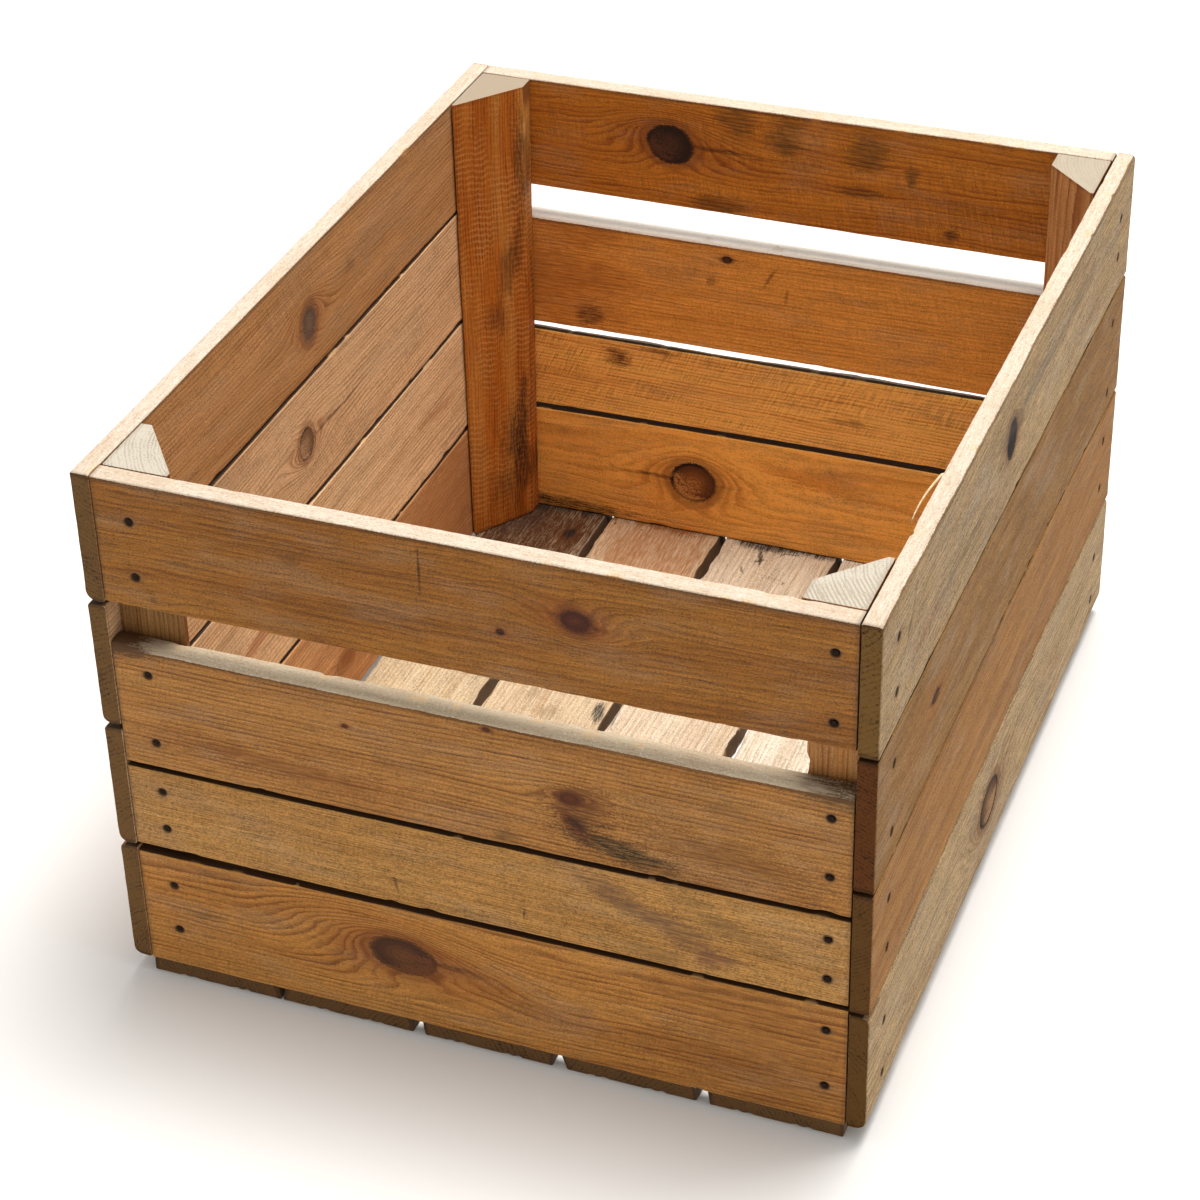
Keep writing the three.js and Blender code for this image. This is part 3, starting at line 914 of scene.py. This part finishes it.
def add_board(kind, node, wood, seed, nails, nail_side=1):
    """A board and its nails, each of them a CAD node or None and a place on the board."""
    matrix = place(kind, node)
    points = own_points(node, matrix)
    half_length, half_thickness = points[:, 0].max(), points[:, 2].max()
    edges = board_edges(points)
    width = float(np.mean(edges[2] - edges[1]))
    middle = float(np.mean(edges[2] + edges[1])) / 2
    corners = {"inner_low": (-1, -1), "inner_high": (1, -1), "outer_high": (1, 1), "outer_low": (-1, 1)}
    outline = [(middle + up * width / 2, out * half_thickness) for up, out in corners.values()]
    wood = {
        **wood, "nails": [spot for _, spot in nails], "nail_side": nail_side,
        "round": [wood.get("worn", {}).get(corner, SAWN_ARRIS) for corner in corners],
    }
    add_timber(node, matrix, half_length, outline, edges, wood, seed)
    outwards = Vector(AXES[kind][2]) * nail_side
    for count, (cad_node, spot) in enumerate(nails, 1):
        head = matrix @ (Vector((*spot, nail_side * (half_thickness - NAIL_HEAD_DEPTH))) * MM)
        name = f"{cad_node}_steel" if cad_node else f"nail_{node.replace('_board', '')}_{count}"
        add_nail(name, head, outwards, seed * 10 + count, cad_node)


def add_post(node, corner, wood, seed):
    matrix = place("post", node)
    points = own_points(node, matrix)
    outline = post_outline(points, corner)
    top, foot = points[points[:, 0] > 0, 1], points[points[:, 0] < 0, 1]
    wood = {**wood, "round": [POST_ARRIS] * len(outline), "foot": np.ptp(foot) / np.ptp(top)}
    add_timber(node, matrix, points[:, 0].max(), outline, None, wood, seed)


# ---- nails ----

def nail_mesh(seed):
    """A turned nail with its point at the origin and its struck head up z."""
    dice = np.random.default_rng(seed)
    tip, *rings, top = NAIL_PROFILE
    turns = np.linspace(0, 2 * math.pi, NAIL_SIDES, endpoint=False)
    points = [(0, 0, tip[1])]
    for radius, height in rings:
        points += [(radius * math.cos(a), radius * math.sin(a), height) for a in turns]
    points = np.array(points + [(0, 0, top[1])], float)
    faces = []
    for i in range(NAIL_SIDES):
        j = (i + 1) % NAIL_SIDES
        faces.append((0, 1 + j, 1 + i))
        starts = range(1, len(points) - 1, NAIL_SIDES)
        for a, b in zip(starts, starts[1:]):
            faces.append((a + i, a + j, b + j, b + i))
        faces.append((starts[-1] + i, starts[-1] + j, len(points) - 1))
    head = points[:, 2] > NAIL_LENGTH - 1
    dents = value_noise(points * 0.9 + dice.uniform(0, 50), seed)
    points[head, 2] -= 0.22 * dents[head]
    points[head, :2] *= (1 + 0.06 * (dents[head] - 0.5))[:, None]
    mesh = bpy.data.meshes.new("nail")
    mesh.from_pydata((points * MM).tolist(), [], faces)
    mesh.polygons.foreach_set("use_smooth", np.ones(len(faces), bool))
    mesh.update()
    return mesh


def add_nail(name, head, outwards, seed, cad_node):
    """A nail whose head lies at a point, in metres, and faces outwards."""
    dice = np.random.default_rng(seed)
    tilt = Euler((dice.normal(0, 0.03), dice.normal(0, 0.03), dice.uniform(0, 6.28))).to_matrix()
    turn = outwards.to_track_quat("Z", "Y").to_matrix() @ tilt
    base = head - turn @ Vector((0, 0, NAIL_LENGTH * MM))
    matrix = Matrix.Translation(base) @ turn.to_4x4()
    material = NAIL_METALS[seed % len(NAIL_METALS)]
    add_object(name, nail_mesh(seed), matrix, material, cad_node)


NAIL_METALS = [nail_steel(number) for number in range(4)]

# ---- what each piece of wood is like ----

# Places on a board are given along and up, in millimetres from its middle, along towards its right end
# seen from outside. The colours of a piece are those of its early wood, late wood and palest fibres.

FRONT_PINE = {"grain": 1.6, "contrast": 0.6}
# The back and left boards' colours are painted bright as the light on their inner faces; their outside tint
# takes the outer faces down.
BACK_PINE = {"outside": "#c9b7a6", "end_grain": "#8a5c30"}
LEFT_PINE = {
    "sawn": 0.7, "saw_angle": 70, "outside": "#d6cabc", "end_grain": "#6e4c20", "end_dark": "#301e0a",
}
RIGHT_PINE = {"grain": 1.9, "torn": 0.4, "gloss": 0.12}
FLOOR_PINE = {
    "grey": 0.1, "contrast": 0.5, "grain": 1.2, "resin": "#b07c4a", "end_grain": "#6a4a26",
    "end_dark": "#2c1a0a", "side": "#5a4028", "core": ("#7a5030", "#4a2a16", "#8e6240"),
}
POST_PINE = {
    "end_grain": "#b9b0a1", "end_dark": "#9b8f7d", "end_rings": 0.7, "grey": 0.05, "spacing": 1.8,
    "pith": (60, 30), "side": "#7a4418",
}

SHAPE_KEYS = ("worn", "flare", "front_flare", "jagged", "torn_corner")

LICHEN = "#3a3022"
SMOKE = "#4a3618"
# Painted shade along the foot of the back wall, where the floor boards meet it.
BACK_WALL_FOOT_SHADE = RaggedSpot(-240, 0, 7, 60, "#2a1a10", 1.1, speckle=1.6)


def wood_of(base, early, late, pale, **changes):
    """A piece of wood: how it looks, and the shape keys that timber_mesh reads."""
    shape = {key: changes.pop(key) for key in SHAPE_KEYS if key in changes}
    return {"look": {**base, "early": early, "late": late, "pale": pale, **changes}, **shape}


FRONT = [
    wood_of(
        FRONT_PINE, "#965e1f", "#60340b", "#ba833a", core=("#5e2c14", "#3c170b", "#4a2010"), fresh=0.5,
        pith=(-80, -46), spacing=2.9, taper=-0.02, waver=4, core_soft=0.3, outline=0.25,
        knots=(
            Knot(56.8, 6.6, 8.5, 6.5, 24, turn=-12, swell=1.5, reach=3, bend=0.8),
            Knot(18.9, -7.2, 2.2, 1.8, 9),
        ),
        torn_spots=(RaggedSpot(38, 6, 16, 10), RaggedSpot(70, -6, 14, 7)),
        stains=(
            RaggedSpot(18.9, -7.2, 3, 2.2, "#1c0d06", 1.0),
            RaggedSpot(-21, 20, 0.8, 15, "#33200f", 0.9, speckle=0.2), RaggedSpot(-88, 9, 7, 6, "#553a1e", 0.5),
            RaggedSpot(-165, -28, 5, 3, "#4a2e14", 0.6, turn=-40),
        ),
    ),
    wood_of(
        FRONT_PINE, "#ae773a", "#744517", "#c08c4a", core=("#6e3416", "#40180a", "#8a4a22"), fresh=3.2,
        contrast=0.95, grain=1.3, worn={"outer_high": 4, "inner_high": 2.5}, spacing=2.4,
        pith=(120, -50), taper=0.006, waver=1.6, sawn_edge="#c2b196", core_soft=0.35, outline=0.15,
        resin="#7a3a12",
        # The two dark spots at the ends of the slot's lower edge, next to the posts, are painted shade and
        # dirt; the grey one is dirt.
        smudges=(
            RaggedSpot(-190, 36, 26, 9, "#5a3c20", 1.1, solid=0.9), RaggedSpot(186, 36, 26, 12, "#5a4024", 1.0),
            RaggedSpot(-30, 36, 60, 2.5, "#9c8a70", 0.5),
        ),
        knots=(
            Knot(50.8, -0.3, 6, 4, 12, bend=1.5), Knot(52.9, -16.1, 7, 3.2, 8, turn=-52),
            Knot(9.1, 30.7, 1.7, 1.3, 6), Knot(-66.2, 14.7, 1.5, 1.2, 5),
        ),
        torn_spots=(RaggedSpot(66, -12, 10, 16),),
        stains=(
            RaggedSpot(57, -6, 19, 20, "#5c3012", 0.7, speckle=2.6),
            RaggedSpot(55, -14, 5, 7, "#2e160a", 0.7, turn=30, speckle=2.2),
            RaggedSpot(83, -25, 36, 10, "#2b2410", 1.0, turn=-14, speckle=1.8),
            RaggedSpot(124, -17, 54, 15, "#6b4018", 0.6, turn=-6, speckle=2.4),
            RaggedSpot(-95, -19, 74, 9, "#7a4216", 0.55, turn=-2, speckle=2.4),
            RaggedSpot(16, -31, 10, 3, "#3a2c18", 0.6), RaggedSpot(130, 14, 16, 10, "#6a5030", 0.3, turn=-20),
        ),
    ),
    wood_of(
        FRONT_PINE, "#b48142", "#835820", "#ca9b57", spacing=1.5, pith=(-150, -30), taper=0.004,
        waver=1.6,
        stains=(
            RaggedSpot(80, 7, 50, 8, "#5d4034", 0.65, turn=-25),
            RaggedSpot(128, 9, 34, 7, "#60492e", 0.45, turn=-24),
            RaggedSpot(88, -20, 26, 5, "#5d4028", 0.4, turn=-9), RaggedSpot(124, -17, 8, 5, "#7a4a34", 0.5),
            RaggedSpot(24.6, -12.6, 0.9, 4.5, "#33200f", 0.8, turn=-8),
            RaggedSpot(-44.8, -15, 0.9, 4, "#4a2e14", 0.7, turn=12),
        ),
    ),
    wood_of(
        FRONT_PINE, "#b67a35", "#7c4613", "#d09b52", core=("#6e4220", "#432410", "#6a3c1c"),
        contrast=0.95, grain=1.3, spacing=2.3, pith=(46, -38), taper=0.012, waver=3, core_soft=0.16,
        outline=0.6,
        knots=(
            Knot(-43.6, 5.2, 18, 11, 42, turn=-8, swell=1.5, reach=3.2, bend=0.7, tail_shift=16),
        ),
        torn_spots=(RaggedSpot(-155, -18, 46, 15), RaggedSpot(-8, 8, 18, 7)),
        stains=(
            RaggedSpot(-158, 0, 16, 5, "#4c3c22", 0.4, turn=10),
            RaggedSpot(150, 0, 70, 44, "#6b3a12", 0.4, speckle=0.8),
        ),
    ),
]
BACK = [
    wood_of(
        BACK_PINE, "#c37621", "#92490a", "#e89634", core=("#4e2c18", "#26120a", "#55301c"), fresh=0.5,
        spacing=2.6, pith=(60, -36), waver=5, core_soft=0.1, contrast=0.9, sawn=1.0,
        knots=(Knot(72.4, 5.6, 14, 11.5, 44, turn=10, swell=0.9, bend=0.8, tail_shift=-36),),
        torn_spots=(RaggedSpot(96, 6, 30, 16), RaggedSpot(40, 10, 20, 12)),
        stains=(
            RaggedSpot(30, 26, 12, 12, SMOKE, 0.6), RaggedSpot(0, 19, 15, 14, SMOKE, 0.65),
            RaggedSpot(-49, 18, 14, 14, SMOKE, 0.65), RaggedSpot(-76, 6, 5, 9, SMOKE, 0.7),
            RaggedSpot(40, -30, 18, 8, "#3a2410", 0.6, speckle=2.2),
            RaggedSpot(-46, -9, 13, 4, "#3a2410", 0.6, speckle=2.2),
            RaggedSpot(-101, -27, 5, 4, "#3a2410", 0.8, speckle=2.2),
        ),
    ),
    wood_of(
        # Its near-white sawn upper edge is a painted highlight.
        BACK_PINE, "#e59943", "#9e5514", "#fcac4c", fresh=2.2, sawn_edge="#fff6ea", edge_wear=0.3,
        contrast=0.5, worn={"inner_high": 2.5}, spacing=2.4, pith=(-100, -50),
        knots=(Knot(36.9, 27, 3, 2.2, 16, bend=1.6),),
        stains=(
            RaggedSpot(150, -4, 50, 50, "#8a3c0c", 0.45, speckle=0.6),
            RaggedSpot(127, -28, 9, 7, "#3a1c0a", 0.7, speckle=2.2),
            RaggedSpot(47, 12, 5, 4, "#5a2c10", 0.7, turn=40, speckle=2.2),
            RaggedSpot(9, 20, 1.2, 9, "#5a2c10", 0.7, turn=30), RaggedSpot(-1, 8, 1.2, 8, "#5a2c10", 0.6, turn=8),
        ),
    ),
    wood_of(
        # The near-white far side of its upper edge is a painted highlight, where light comes through the
        # gap above it.
        BACK_PINE, "#ffb961", "#b1651f", "#ffcd6b", far_side="#fbf6ee", worn={"outer_high": 8},
        spacing=2.2, pith=(90, -40), sawn=1.6, saw_angle=115, scuffs=0.35,
        stains=(
            RaggedSpot(108, 15, 9, 6, "#5a260a", 0.9, speckle=2.8),
            RaggedSpot(81, 24, 15, 2.5, "#5a260a", 0.8, speckle=2.0),
            RaggedSpot(-40, -4, 14, 2, "#5a260a", 0.5, speckle=2.8),
        ),
    ),
    wood_of(
        BACK_PINE, "#ffb657", "#b9691c", "#ffc068", core=("#a2622c", "#5c3214", "#c4864a"), spacing=2.6,
        pith=(14, -44), waver=2.6, contrast=0.5, outline=1.2, resin="#a4581a",
        knots=(Knot(59, -0.5, 14.5, 13.5, 60, swell=0.6, tail_shift=18),),
        # Painted shade and dirt: the dark strip along the bottom edge, at the end by the left wall, where
        # the wall meets the floor.
        stains=(RaggedSpot(150, -33, 70, 5, "#2a1408", 0.9),),
    ),
]
LEFT = [
    wood_of(
        LEFT_PINE, "#b7834f", "#8e5b2e", "#dfa775", core=("#7a604c", "#5c4438", "#6a5040"), fresh=0.5,
        worn={"outer_low": 6.5, "inner_low": 2.5}, pith=(120, -60), core_soft=0.35, outline=0.15,
        knots=(Knot(10, -5.5, 9, 11, 16),),
        stains=(RaggedSpot(-45, 4, 9, 7, "#5c4030", 0.4),),
    ),
    wood_of(
        LEFT_PINE, "#dfb386", "#98693d", "#ebbf93", core=("#a07a56", "#7a5638", "#b08a64"),
        worn={"outer_high": 2, "outer_low": 6, "inner_low": 1.5}, pith=(-90, -50), outline=1.0,
        knots=(Knot(25, 0, 8.5, 9.5, 50, bend=1.3, tail_shift=-40),),
        torn_spots=(RaggedSpot(0, -8, 50, 18),),
    ),
    wood_of(
        LEFT_PINE, "#ebc194", "#a3774a", "#fed9af",
        worn={"outer_high": 2.5, "outer_low": 6, "inner_low": 2}, pith=(-70, -44),
        stains=(
            RaggedSpot(100, -9, 34, 5, "#a04c22", 0.6, turn=-6),
            RaggedSpot(-150, 0, 30, 4, "#a5603a", 0.5, turn=4),
        ),
    ),
    wood_of(
        LEFT_PINE, "#d8a06a", "#a06c40", "#ecb884", core=("#9c6034", "#8a5026", "#a06a3c"),
        worn={"outer_high": 2.5, "outer_low": 5}, pith=(-60, -40), core_soft=0.5, outline=0.0,
        stains=(RaggedSpot(-140, 0, 190, 80, "#9a6030", 0.55, speckle=0.4, solid=0.9),),
        knots=(Knot(-2, -12, 10, 6, 24),),
    ),
]
RIGHT = [
    wood_of(
        RIGHT_PINE, "#a28660", "#7f6340", "#c2a47c", core=("#1c0f07", "#0c0603", "#241408"), grey=0.65,
        fresh=0.5, worn={"outer_high": 2.5}, pith=(90, -60), contrast=0.5, spacing=2.8, torn=0.6,
        core_soft=0.1, resin="#6a4420", end_grain="#75552a",
        knots=(Knot(-18.5, 3, 9, 11, 30),),
        stains=(
            RaggedSpot(60, 10, 120, 7, "#5c5044", 0.5), RaggedSpot(-120, -10, 80, 5, "#574a3c", 0.5),
            RaggedSpot(-205, 6, 12, 2, "#4c4236", 0.7, turn=50),
            RaggedSpot(-198, 19, 9, 2, "#4c4236", 0.7, turn=60),
        ),
    ),
    wood_of(
        RIGHT_PINE, "#8a6232", "#664420", "#a88452", worn={"outer_high": 1.5}, pith=(-110, -50),
        spacing=2.0, grey=0.35, end_grain="#5f3512", end_dark="#2a1606", torn_tone="#b06a26",
        torn_dark="#5a2c0e",
        knots=(Knot(-150, 8, 6, 3, 20),),
        torn_spots=(RaggedSpot(-170, 0, 60, 30),),
    ),
    wood_of(
        RIGHT_PINE, "#996a35", "#6d421c", "#b7884d", grey=0.2, worn={"outer_high": 1.5}, pith=(80, -60),
        spacing=1.9, end_grain="#5f3f1a",
    ),
    wood_of(
        RIGHT_PINE, "#a98e68", "#826441", "#bea17a", core=("#8a6642", "#4a2e18", "#9c7650"), grey=0.55,
        worn={"outer_high": 3.5, "outer_low": 5}, pith=(-40, -44), waver=5, spacing=2.6, resin="#7a5a38",
        outline=1.4, end_grain="#61421c",
        knots=(Knot(-21.4, 0, 17, 13, 45, swell=0.8),),
    ),
]
FLOOR = [
    wood_of(
        FLOOR_PINE, "#c6b290", "#a07c56", "#d6c8ae", core=("#9a7450", "#6a4a30", "#8a6442"), grey=0.2,
        flare=(0.6, 2.1), jagged=0.7, core_soft=0.2, outline=0.7,
        knots=(Knot(-210, 21, 7, 6, 12),),
        stains=(
            # Painted shade: the first two spots darken the back end, where the back and left walls shade
            # the floor, darkest in the back-left corner; the small black spot darkens the knot.
            RaggedSpot(-215, 0, 110, 80, "#4c2604", 1.0, speckle=0.9, solid=0.65),
            RaggedSpot(-225, -14, 34, 18, "#3a2212", 0.7), RaggedSpot(-212, 20, 5, 3, "#1a0f08", 1.2),
            BACK_WALL_FOOT_SHADE,
        ),
    ),
    wood_of(
        FLOOR_PINE, "#c9b596", "#a27244", "#d9c3a2", pith=(80, -60), flare=(2.1, 2.3),
        front_flare=(2.1, 0.6), jagged=1.0,
        stains=(
            # Painted shade: the orange-brown spot darkens the back end, where the back wall shades the
            # floor.
            BACK_WALL_FOOT_SHADE, RaggedSpot(-215, 0, 80, 60, "#9c5a18", 0.7, speckle=0.6),
            RaggedSpot(-34, 31, 10, 3.5, "#2b2c2c", 1.0, turn=14, speckle=1.8),
            RaggedSpot(-41, -13, 7, 5, "#7a6644", 0.4, speckle=2.2),
            RaggedSpot(-26, 2, 7, 8, "#7a6038", 0.5, speckle=2.2),
            RaggedSpot(-232.7, -31, 1.7, 1.4, "#48200f", 0.9), RaggedSpot(-231.2, -12.4, 1.4, 1.2, "#48200f", 0.9),
            RaggedSpot(-232.5, 17.7, 1.6, 1, "#5a2c14", 0.8), RaggedSpot(-234.5, 23.5, 1.6, 1, "#5a2c14", 0.8),
        ),
    ),
    wood_of(
        FLOOR_PINE, "#d2c0a6", "#a9835c", "#dfd2bd", pith=(-90, -40), spacing=3.2, flare=(2.3, 2.5),
        front_flare=(-1.6, 0.5), jagged=1.3,
        stains=(
            BACK_WALL_FOOT_SHADE, RaggedSpot(-33, -35, 14, 3, "#5a6068", 0.6, turn=8),
            RaggedSpot(-224, -9, 9, 1.2, LICHEN, 1.0, turn=20), RaggedSpot(-221, -8, 1.2, 4, LICHEN, 0.9, turn=30),
            RaggedSpot(-232, 4, 3, 1.2, LICHEN, 1.0, turn=-50), RaggedSpot(-234, 9, 1.2, 7, LICHEN, 0.9, turn=6),
            RaggedSpot(-234.8, 13, 3, 1, LICHEN, 0.9, turn=40), RaggedSpot(-207, -15, 4, 1, LICHEN, 0.8, turn=30),
            RaggedSpot(-204, 6, 3, 6, LICHEN, 0.5, speckle=2.2), RaggedSpot(-201.4, 14, 2.5, 1, LICHEN, 0.8),
        ),
    ),
    wood_of(
        FLOOR_PINE, "#dccfba", "#b1906a", "#e9e0d2", pith=(100, -70), flare=(2.5, 2.45),
        front_flare=(-2.2, 0.4), jagged=1.0,
        knots=(Knot(-96, 14, 9, 7, 26),),
    ),
    wood_of(
        FLOOR_PINE, "#d4bf9c", "#aa8358", "#e2d2b6", pith=(-90, -52), flare=(2.45, 0),
        front_flare=(-1.4, 0), jagged=0.7,
        knots=(Knot(104, -10, 7, 6, 20), Knot(-60, 22, 4, 3, 14)),
    ),
]
POSTS = {
    "front_left": ((-1, -1), wood_of(
        POST_PINE, "#8f6230", "#54350f", "#a37a42", contrast=1.0,
    )),
    "front_right": ((1, -1), wood_of(
        POST_PINE, "#c08a50", "#843a04", "#ce7a1d", saw_marks=0.8, torn_corner=(70, 30, 4.6),
    )),
    "back_left": ((-1, 1), wood_of(
        POST_PINE, "#b76310", "#843a04", "#e0aa5a", contrast=0.9, ridges=0.5, waver=3,
        end_grain="#9d8c77",
        stains=(
            RaggedSpot(95, 13, 40, 4, "#2a170c", 0.7), RaggedSpot(40, 8, 30, 5, "#3a200f", 0.6, turn=10),
            RaggedSpot(0, 0, 14, 6, "#2a170c", 0.5), RaggedSpot(-70, 9, 34, 6, "#2a170c", 0.8, turn=8),
            RaggedSpot(-100, 6, 30, 7, "#22140a", 0.8, turn=-8), RaggedSpot(-120, 2, 18, 10, "#2a170c", 0.5),
        ),
    )),
    "back_right": ((1, 1), wood_of(
        POST_PINE, "#c99058", "#843a04", "#ce7a1d", end_grain="#a79b88",
    )),
}

# The nails of the side walls: distances below the rim at the board's left and right end, from outside.
SIDE_NAILS = {
    "left": (
        ((24, 61), (17, 59)), ((90, 128), (92, 131)), ((169, 202), (168, 203)), ((240, 285), (238, 284)),
    ),
    "right": (
        ((22.5, 53), (26, 50)), ((93, 132), (92, 137)), ((172, 203), (170, 203)), ((250, 285), (253, 284)),
    ),
}
FLOOR_NAIL_SHARES = (0.27, 0.7)
END_WALL_MIDDLE = CAD_BOX[1].y / MM - 5.6
SPLINTER_ROOT = (192.1, -115, 309.2)
SPLINTER_TIP = (182.8, -135, 292)
SPLINTER_BOW = 1.6
SPLINTER_WIDTH = 2.4
SPLINTER_THICKNESS = 0.7
SPLINTER_STEPS = 12
FAR_FROM_EDGES = 20.0

# The random draws of a piece start from these seeds and its number.
WALL_SEED = 2
FLOOR_SEED = 41
POST_SEED = 60
SPLINTER_SEED = 90


# ---- putting the crate together ----

def cad_nails(kind, board):
    """The CAD nails whose heads lie on a board of an end wall, and their places on it."""
    low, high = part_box(board)
    inverse = place(kind, board).inverted()
    found = []
    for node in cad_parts:
        if node.startswith(f"nail_{kind}_"):
            nail_low, nail_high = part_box(node)
            middle = (nail_low + nail_high) / 2
            if low.z < middle.z < high.z:
                own = inverse @ middle
                found.append((node, (own.x / MM, own.y / MM)))
    return found


def side_nails(board, pairs):
    """The nails of a side wall's board, which are no CAD nodes: near its ends, as far below the rim."""
    low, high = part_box(board)
    reach = (high - low).y / 2 / MM - NAIL_FROM_END
    top = RIM - ((low + high) / 2).z / MM
    return [(None, (end * reach, top - below)) for end, pair in zip((-1, 1), pairs) for below in pair]


def build_walls():
    walls = {"front": FRONT, "back": BACK, "left": LEFT, "right": RIGHT}
    boards = [(kind, number, wood) for kind in walls for number, wood in enumerate(walls[kind])]
    for seed, (kind, number, wood) in enumerate(boards, WALL_SEED):
        node = f"{kind}_wall_board_{number + 1}"
        if kind in SIDE_NAILS:
            nails = side_nails(node, SIDE_NAILS[kind][number])
            add_board(kind, node, wood, seed, nails)
        else:
            add_board(kind, node, wood, seed, cad_nails(kind, node))


def build_floor():
    for number, wood in enumerate(FLOOR):
        node = f"floor_board_{number + 1}"
        low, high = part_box(node)
        width = (high - low).x / MM
        nails = []
        for end in (-1, 1):
            for share in FLOOR_NAIL_SHARES:
                nails.append((None, (end * END_WALL_MIDDLE, (share - 0.5) * width)))
        add_board("floor", node, wood, FLOOR_SEED + number, nails, nail_side=-1)


def build_posts():
    for number, (name, (corner, wood)) in enumerate(POSTS.items()):
        add_post(f"corner_post_{name}", corner, wood, POST_SEED + number)


def add_splinter():
    """A long splinter that peels off the inner edge of the right wall's upper board."""
    root, tip = np.array(SPLINTER_ROOT), np.array(SPLINTER_TIP)
    share = np.linspace(0, 1, SPLINTER_STEPS)
    path = root + (tip - root) * share[:, None]
    path[:, 0] -= SPLINTER_BOW * np.sin(math.pi * share)
    width = SPLINTER_WIDTH * (1 - 0.8 * share)
    thickness = SPLINTER_THICKNESS * (1 - 0.6 * share)
    points = []
    for side, face in ((-1, -1), (1, -1), (1, 1), (-1, 1)):
        offset = np.stack([side * width / 2, face * thickness / 2, side * width / 4], 1)
        points.append(path + offset)
    points = np.stack(points, 1).reshape(-1, 3)
    faces = [[0, 1, 2, 3], [4 * SPLINTER_STEPS - corner for corner in (1, 2, 3, 4)]]
    for step in range(SPLINTER_STEPS - 1):
        for corner in range(4):
            after = (corner + 1) % 4
            first = 4 * step
            faces.append([first + corner, first + 4 + corner, first + 4 + after, first + after])
    name = "right_wall_splinter"
    mesh = make_mesh(name, points, np.array(faces))
    set_attribute(mesh, "edges", *np.full((3, len(points)), FAR_FROM_EDGES))
    set_attribute(mesh, "marks", *np.zeros((3, len(points))))
    wood = wood_of(RIGHT_PINE, "#f0d8b0", "#d8b888", "#f6e6c8", grey=0.0, grain=0.6)
    add_object(name, mesh, Matrix.Identity(4), pine(name, wood["look"], SPLINTER_SEED))


build_walls()
build_floor()
build_posts()
add_splinter()

# ---- floor, light and camera ----

FLOOR_HALF = 6.0
CAMERA_AZIMUTH = 21.68
CAMERA_ELEVATION = 33.88
CAMERA_ROLL = -1.48
CAMERA_DISTANCE = 1.692
CAMERA_AIM = (-0.0204, -0.0243, 0.1327)
CAMERA_LENS = 92.38
LAMP_PLACE = (0.27, 0.36, 2.4)
LAMP_AIM = (0, 0, 0.15)
LAMP_SIZE = 1.2
LAMP_POWER = 72
LAMP_COLOUR = (1, 0.985, 0.96)
SKY_COLOUR = (1, 0.99, 0.97, 1)
SKY_STRENGTH = 0.57


def add_ground():
    mesh = bpy.data.meshes.new("ground")
    corners = [(x * FLOOR_HALF, y * FLOOR_HALF, 0) for x, y in ((-1, -1), (1, -1), (1, 1), (-1, 1))]
    mesh.from_pydata(corners, [], [(0, 1, 2, 3)])
    material, tree, shader = new_material("pale_floor")
    tint = object_millimetres(tree).noise((900, 900, 900), 2)
    tree.links.new(mix(tint, "#f1f0ee", "#f6f5f3").socket, shader.inputs["Base Color"])
    shader.inputs["Roughness"].default_value = 0.9
    mesh.materials.append(material)
    ground = bpy.data.objects.new("ground", mesh)
    ground.location.z = CAD_BOX[0].z - 0.0002
    bpy.context.scene.collection.objects.link(ground)


def add_lamp():
    light = bpy.data.lights.new("overhead", "AREA")
    light.shape = "SQUARE"
    light.size = LAMP_SIZE
    light.energy = LAMP_POWER
    light.color = LAMP_COLOUR
    lamp = bpy.data.objects.new("overhead", light)
    lamp.location = LAMP_PLACE
    lamp.rotation_euler = (Vector(LAMP_AIM) - Vector(LAMP_PLACE)).to_track_quat("-Z", "Y").to_euler()
    bpy.context.scene.collection.objects.link(lamp)


def add_camera():
    azimuth, elevation = math.radians(CAMERA_AZIMUTH), math.radians(CAMERA_ELEVATION)
    back = Vector((
        math.sin(azimuth) * math.cos(elevation),
        -math.cos(azimuth) * math.cos(elevation),
        math.sin(elevation),
    ))
    camera = bpy.data.objects.new("camera", bpy.data.cameras.new("camera"))
    camera.data.lens = CAMERA_LENS
    camera.data.clip_end = 50
    turn = (-back).to_track_quat("-Z", "Y").to_matrix() @ Matrix.Rotation(math.radians(CAMERA_ROLL), 3, "Z")
    camera.matrix_world = Matrix.Translation(Vector(CAMERA_AIM) + back * CAMERA_DISTANCE) @ turn.to_4x4()
    bpy.context.scene.collection.objects.link(camera)
    bpy.context.scene.camera = camera


def add_world():
    world = bpy.data.worlds.new("studio")
    world.use_nodes = True
    background = world.node_tree.nodes["Background"]
    background.inputs["Color"].default_value = SKY_COLOUR
    background.inputs["Strength"].default_value = SKY_STRENGTH
    bpy.context.scene.world = world


add_ground()
add_lamp()
add_world()
add_camera()
bpy.context.scene.view_settings.view_transform = "Standard"
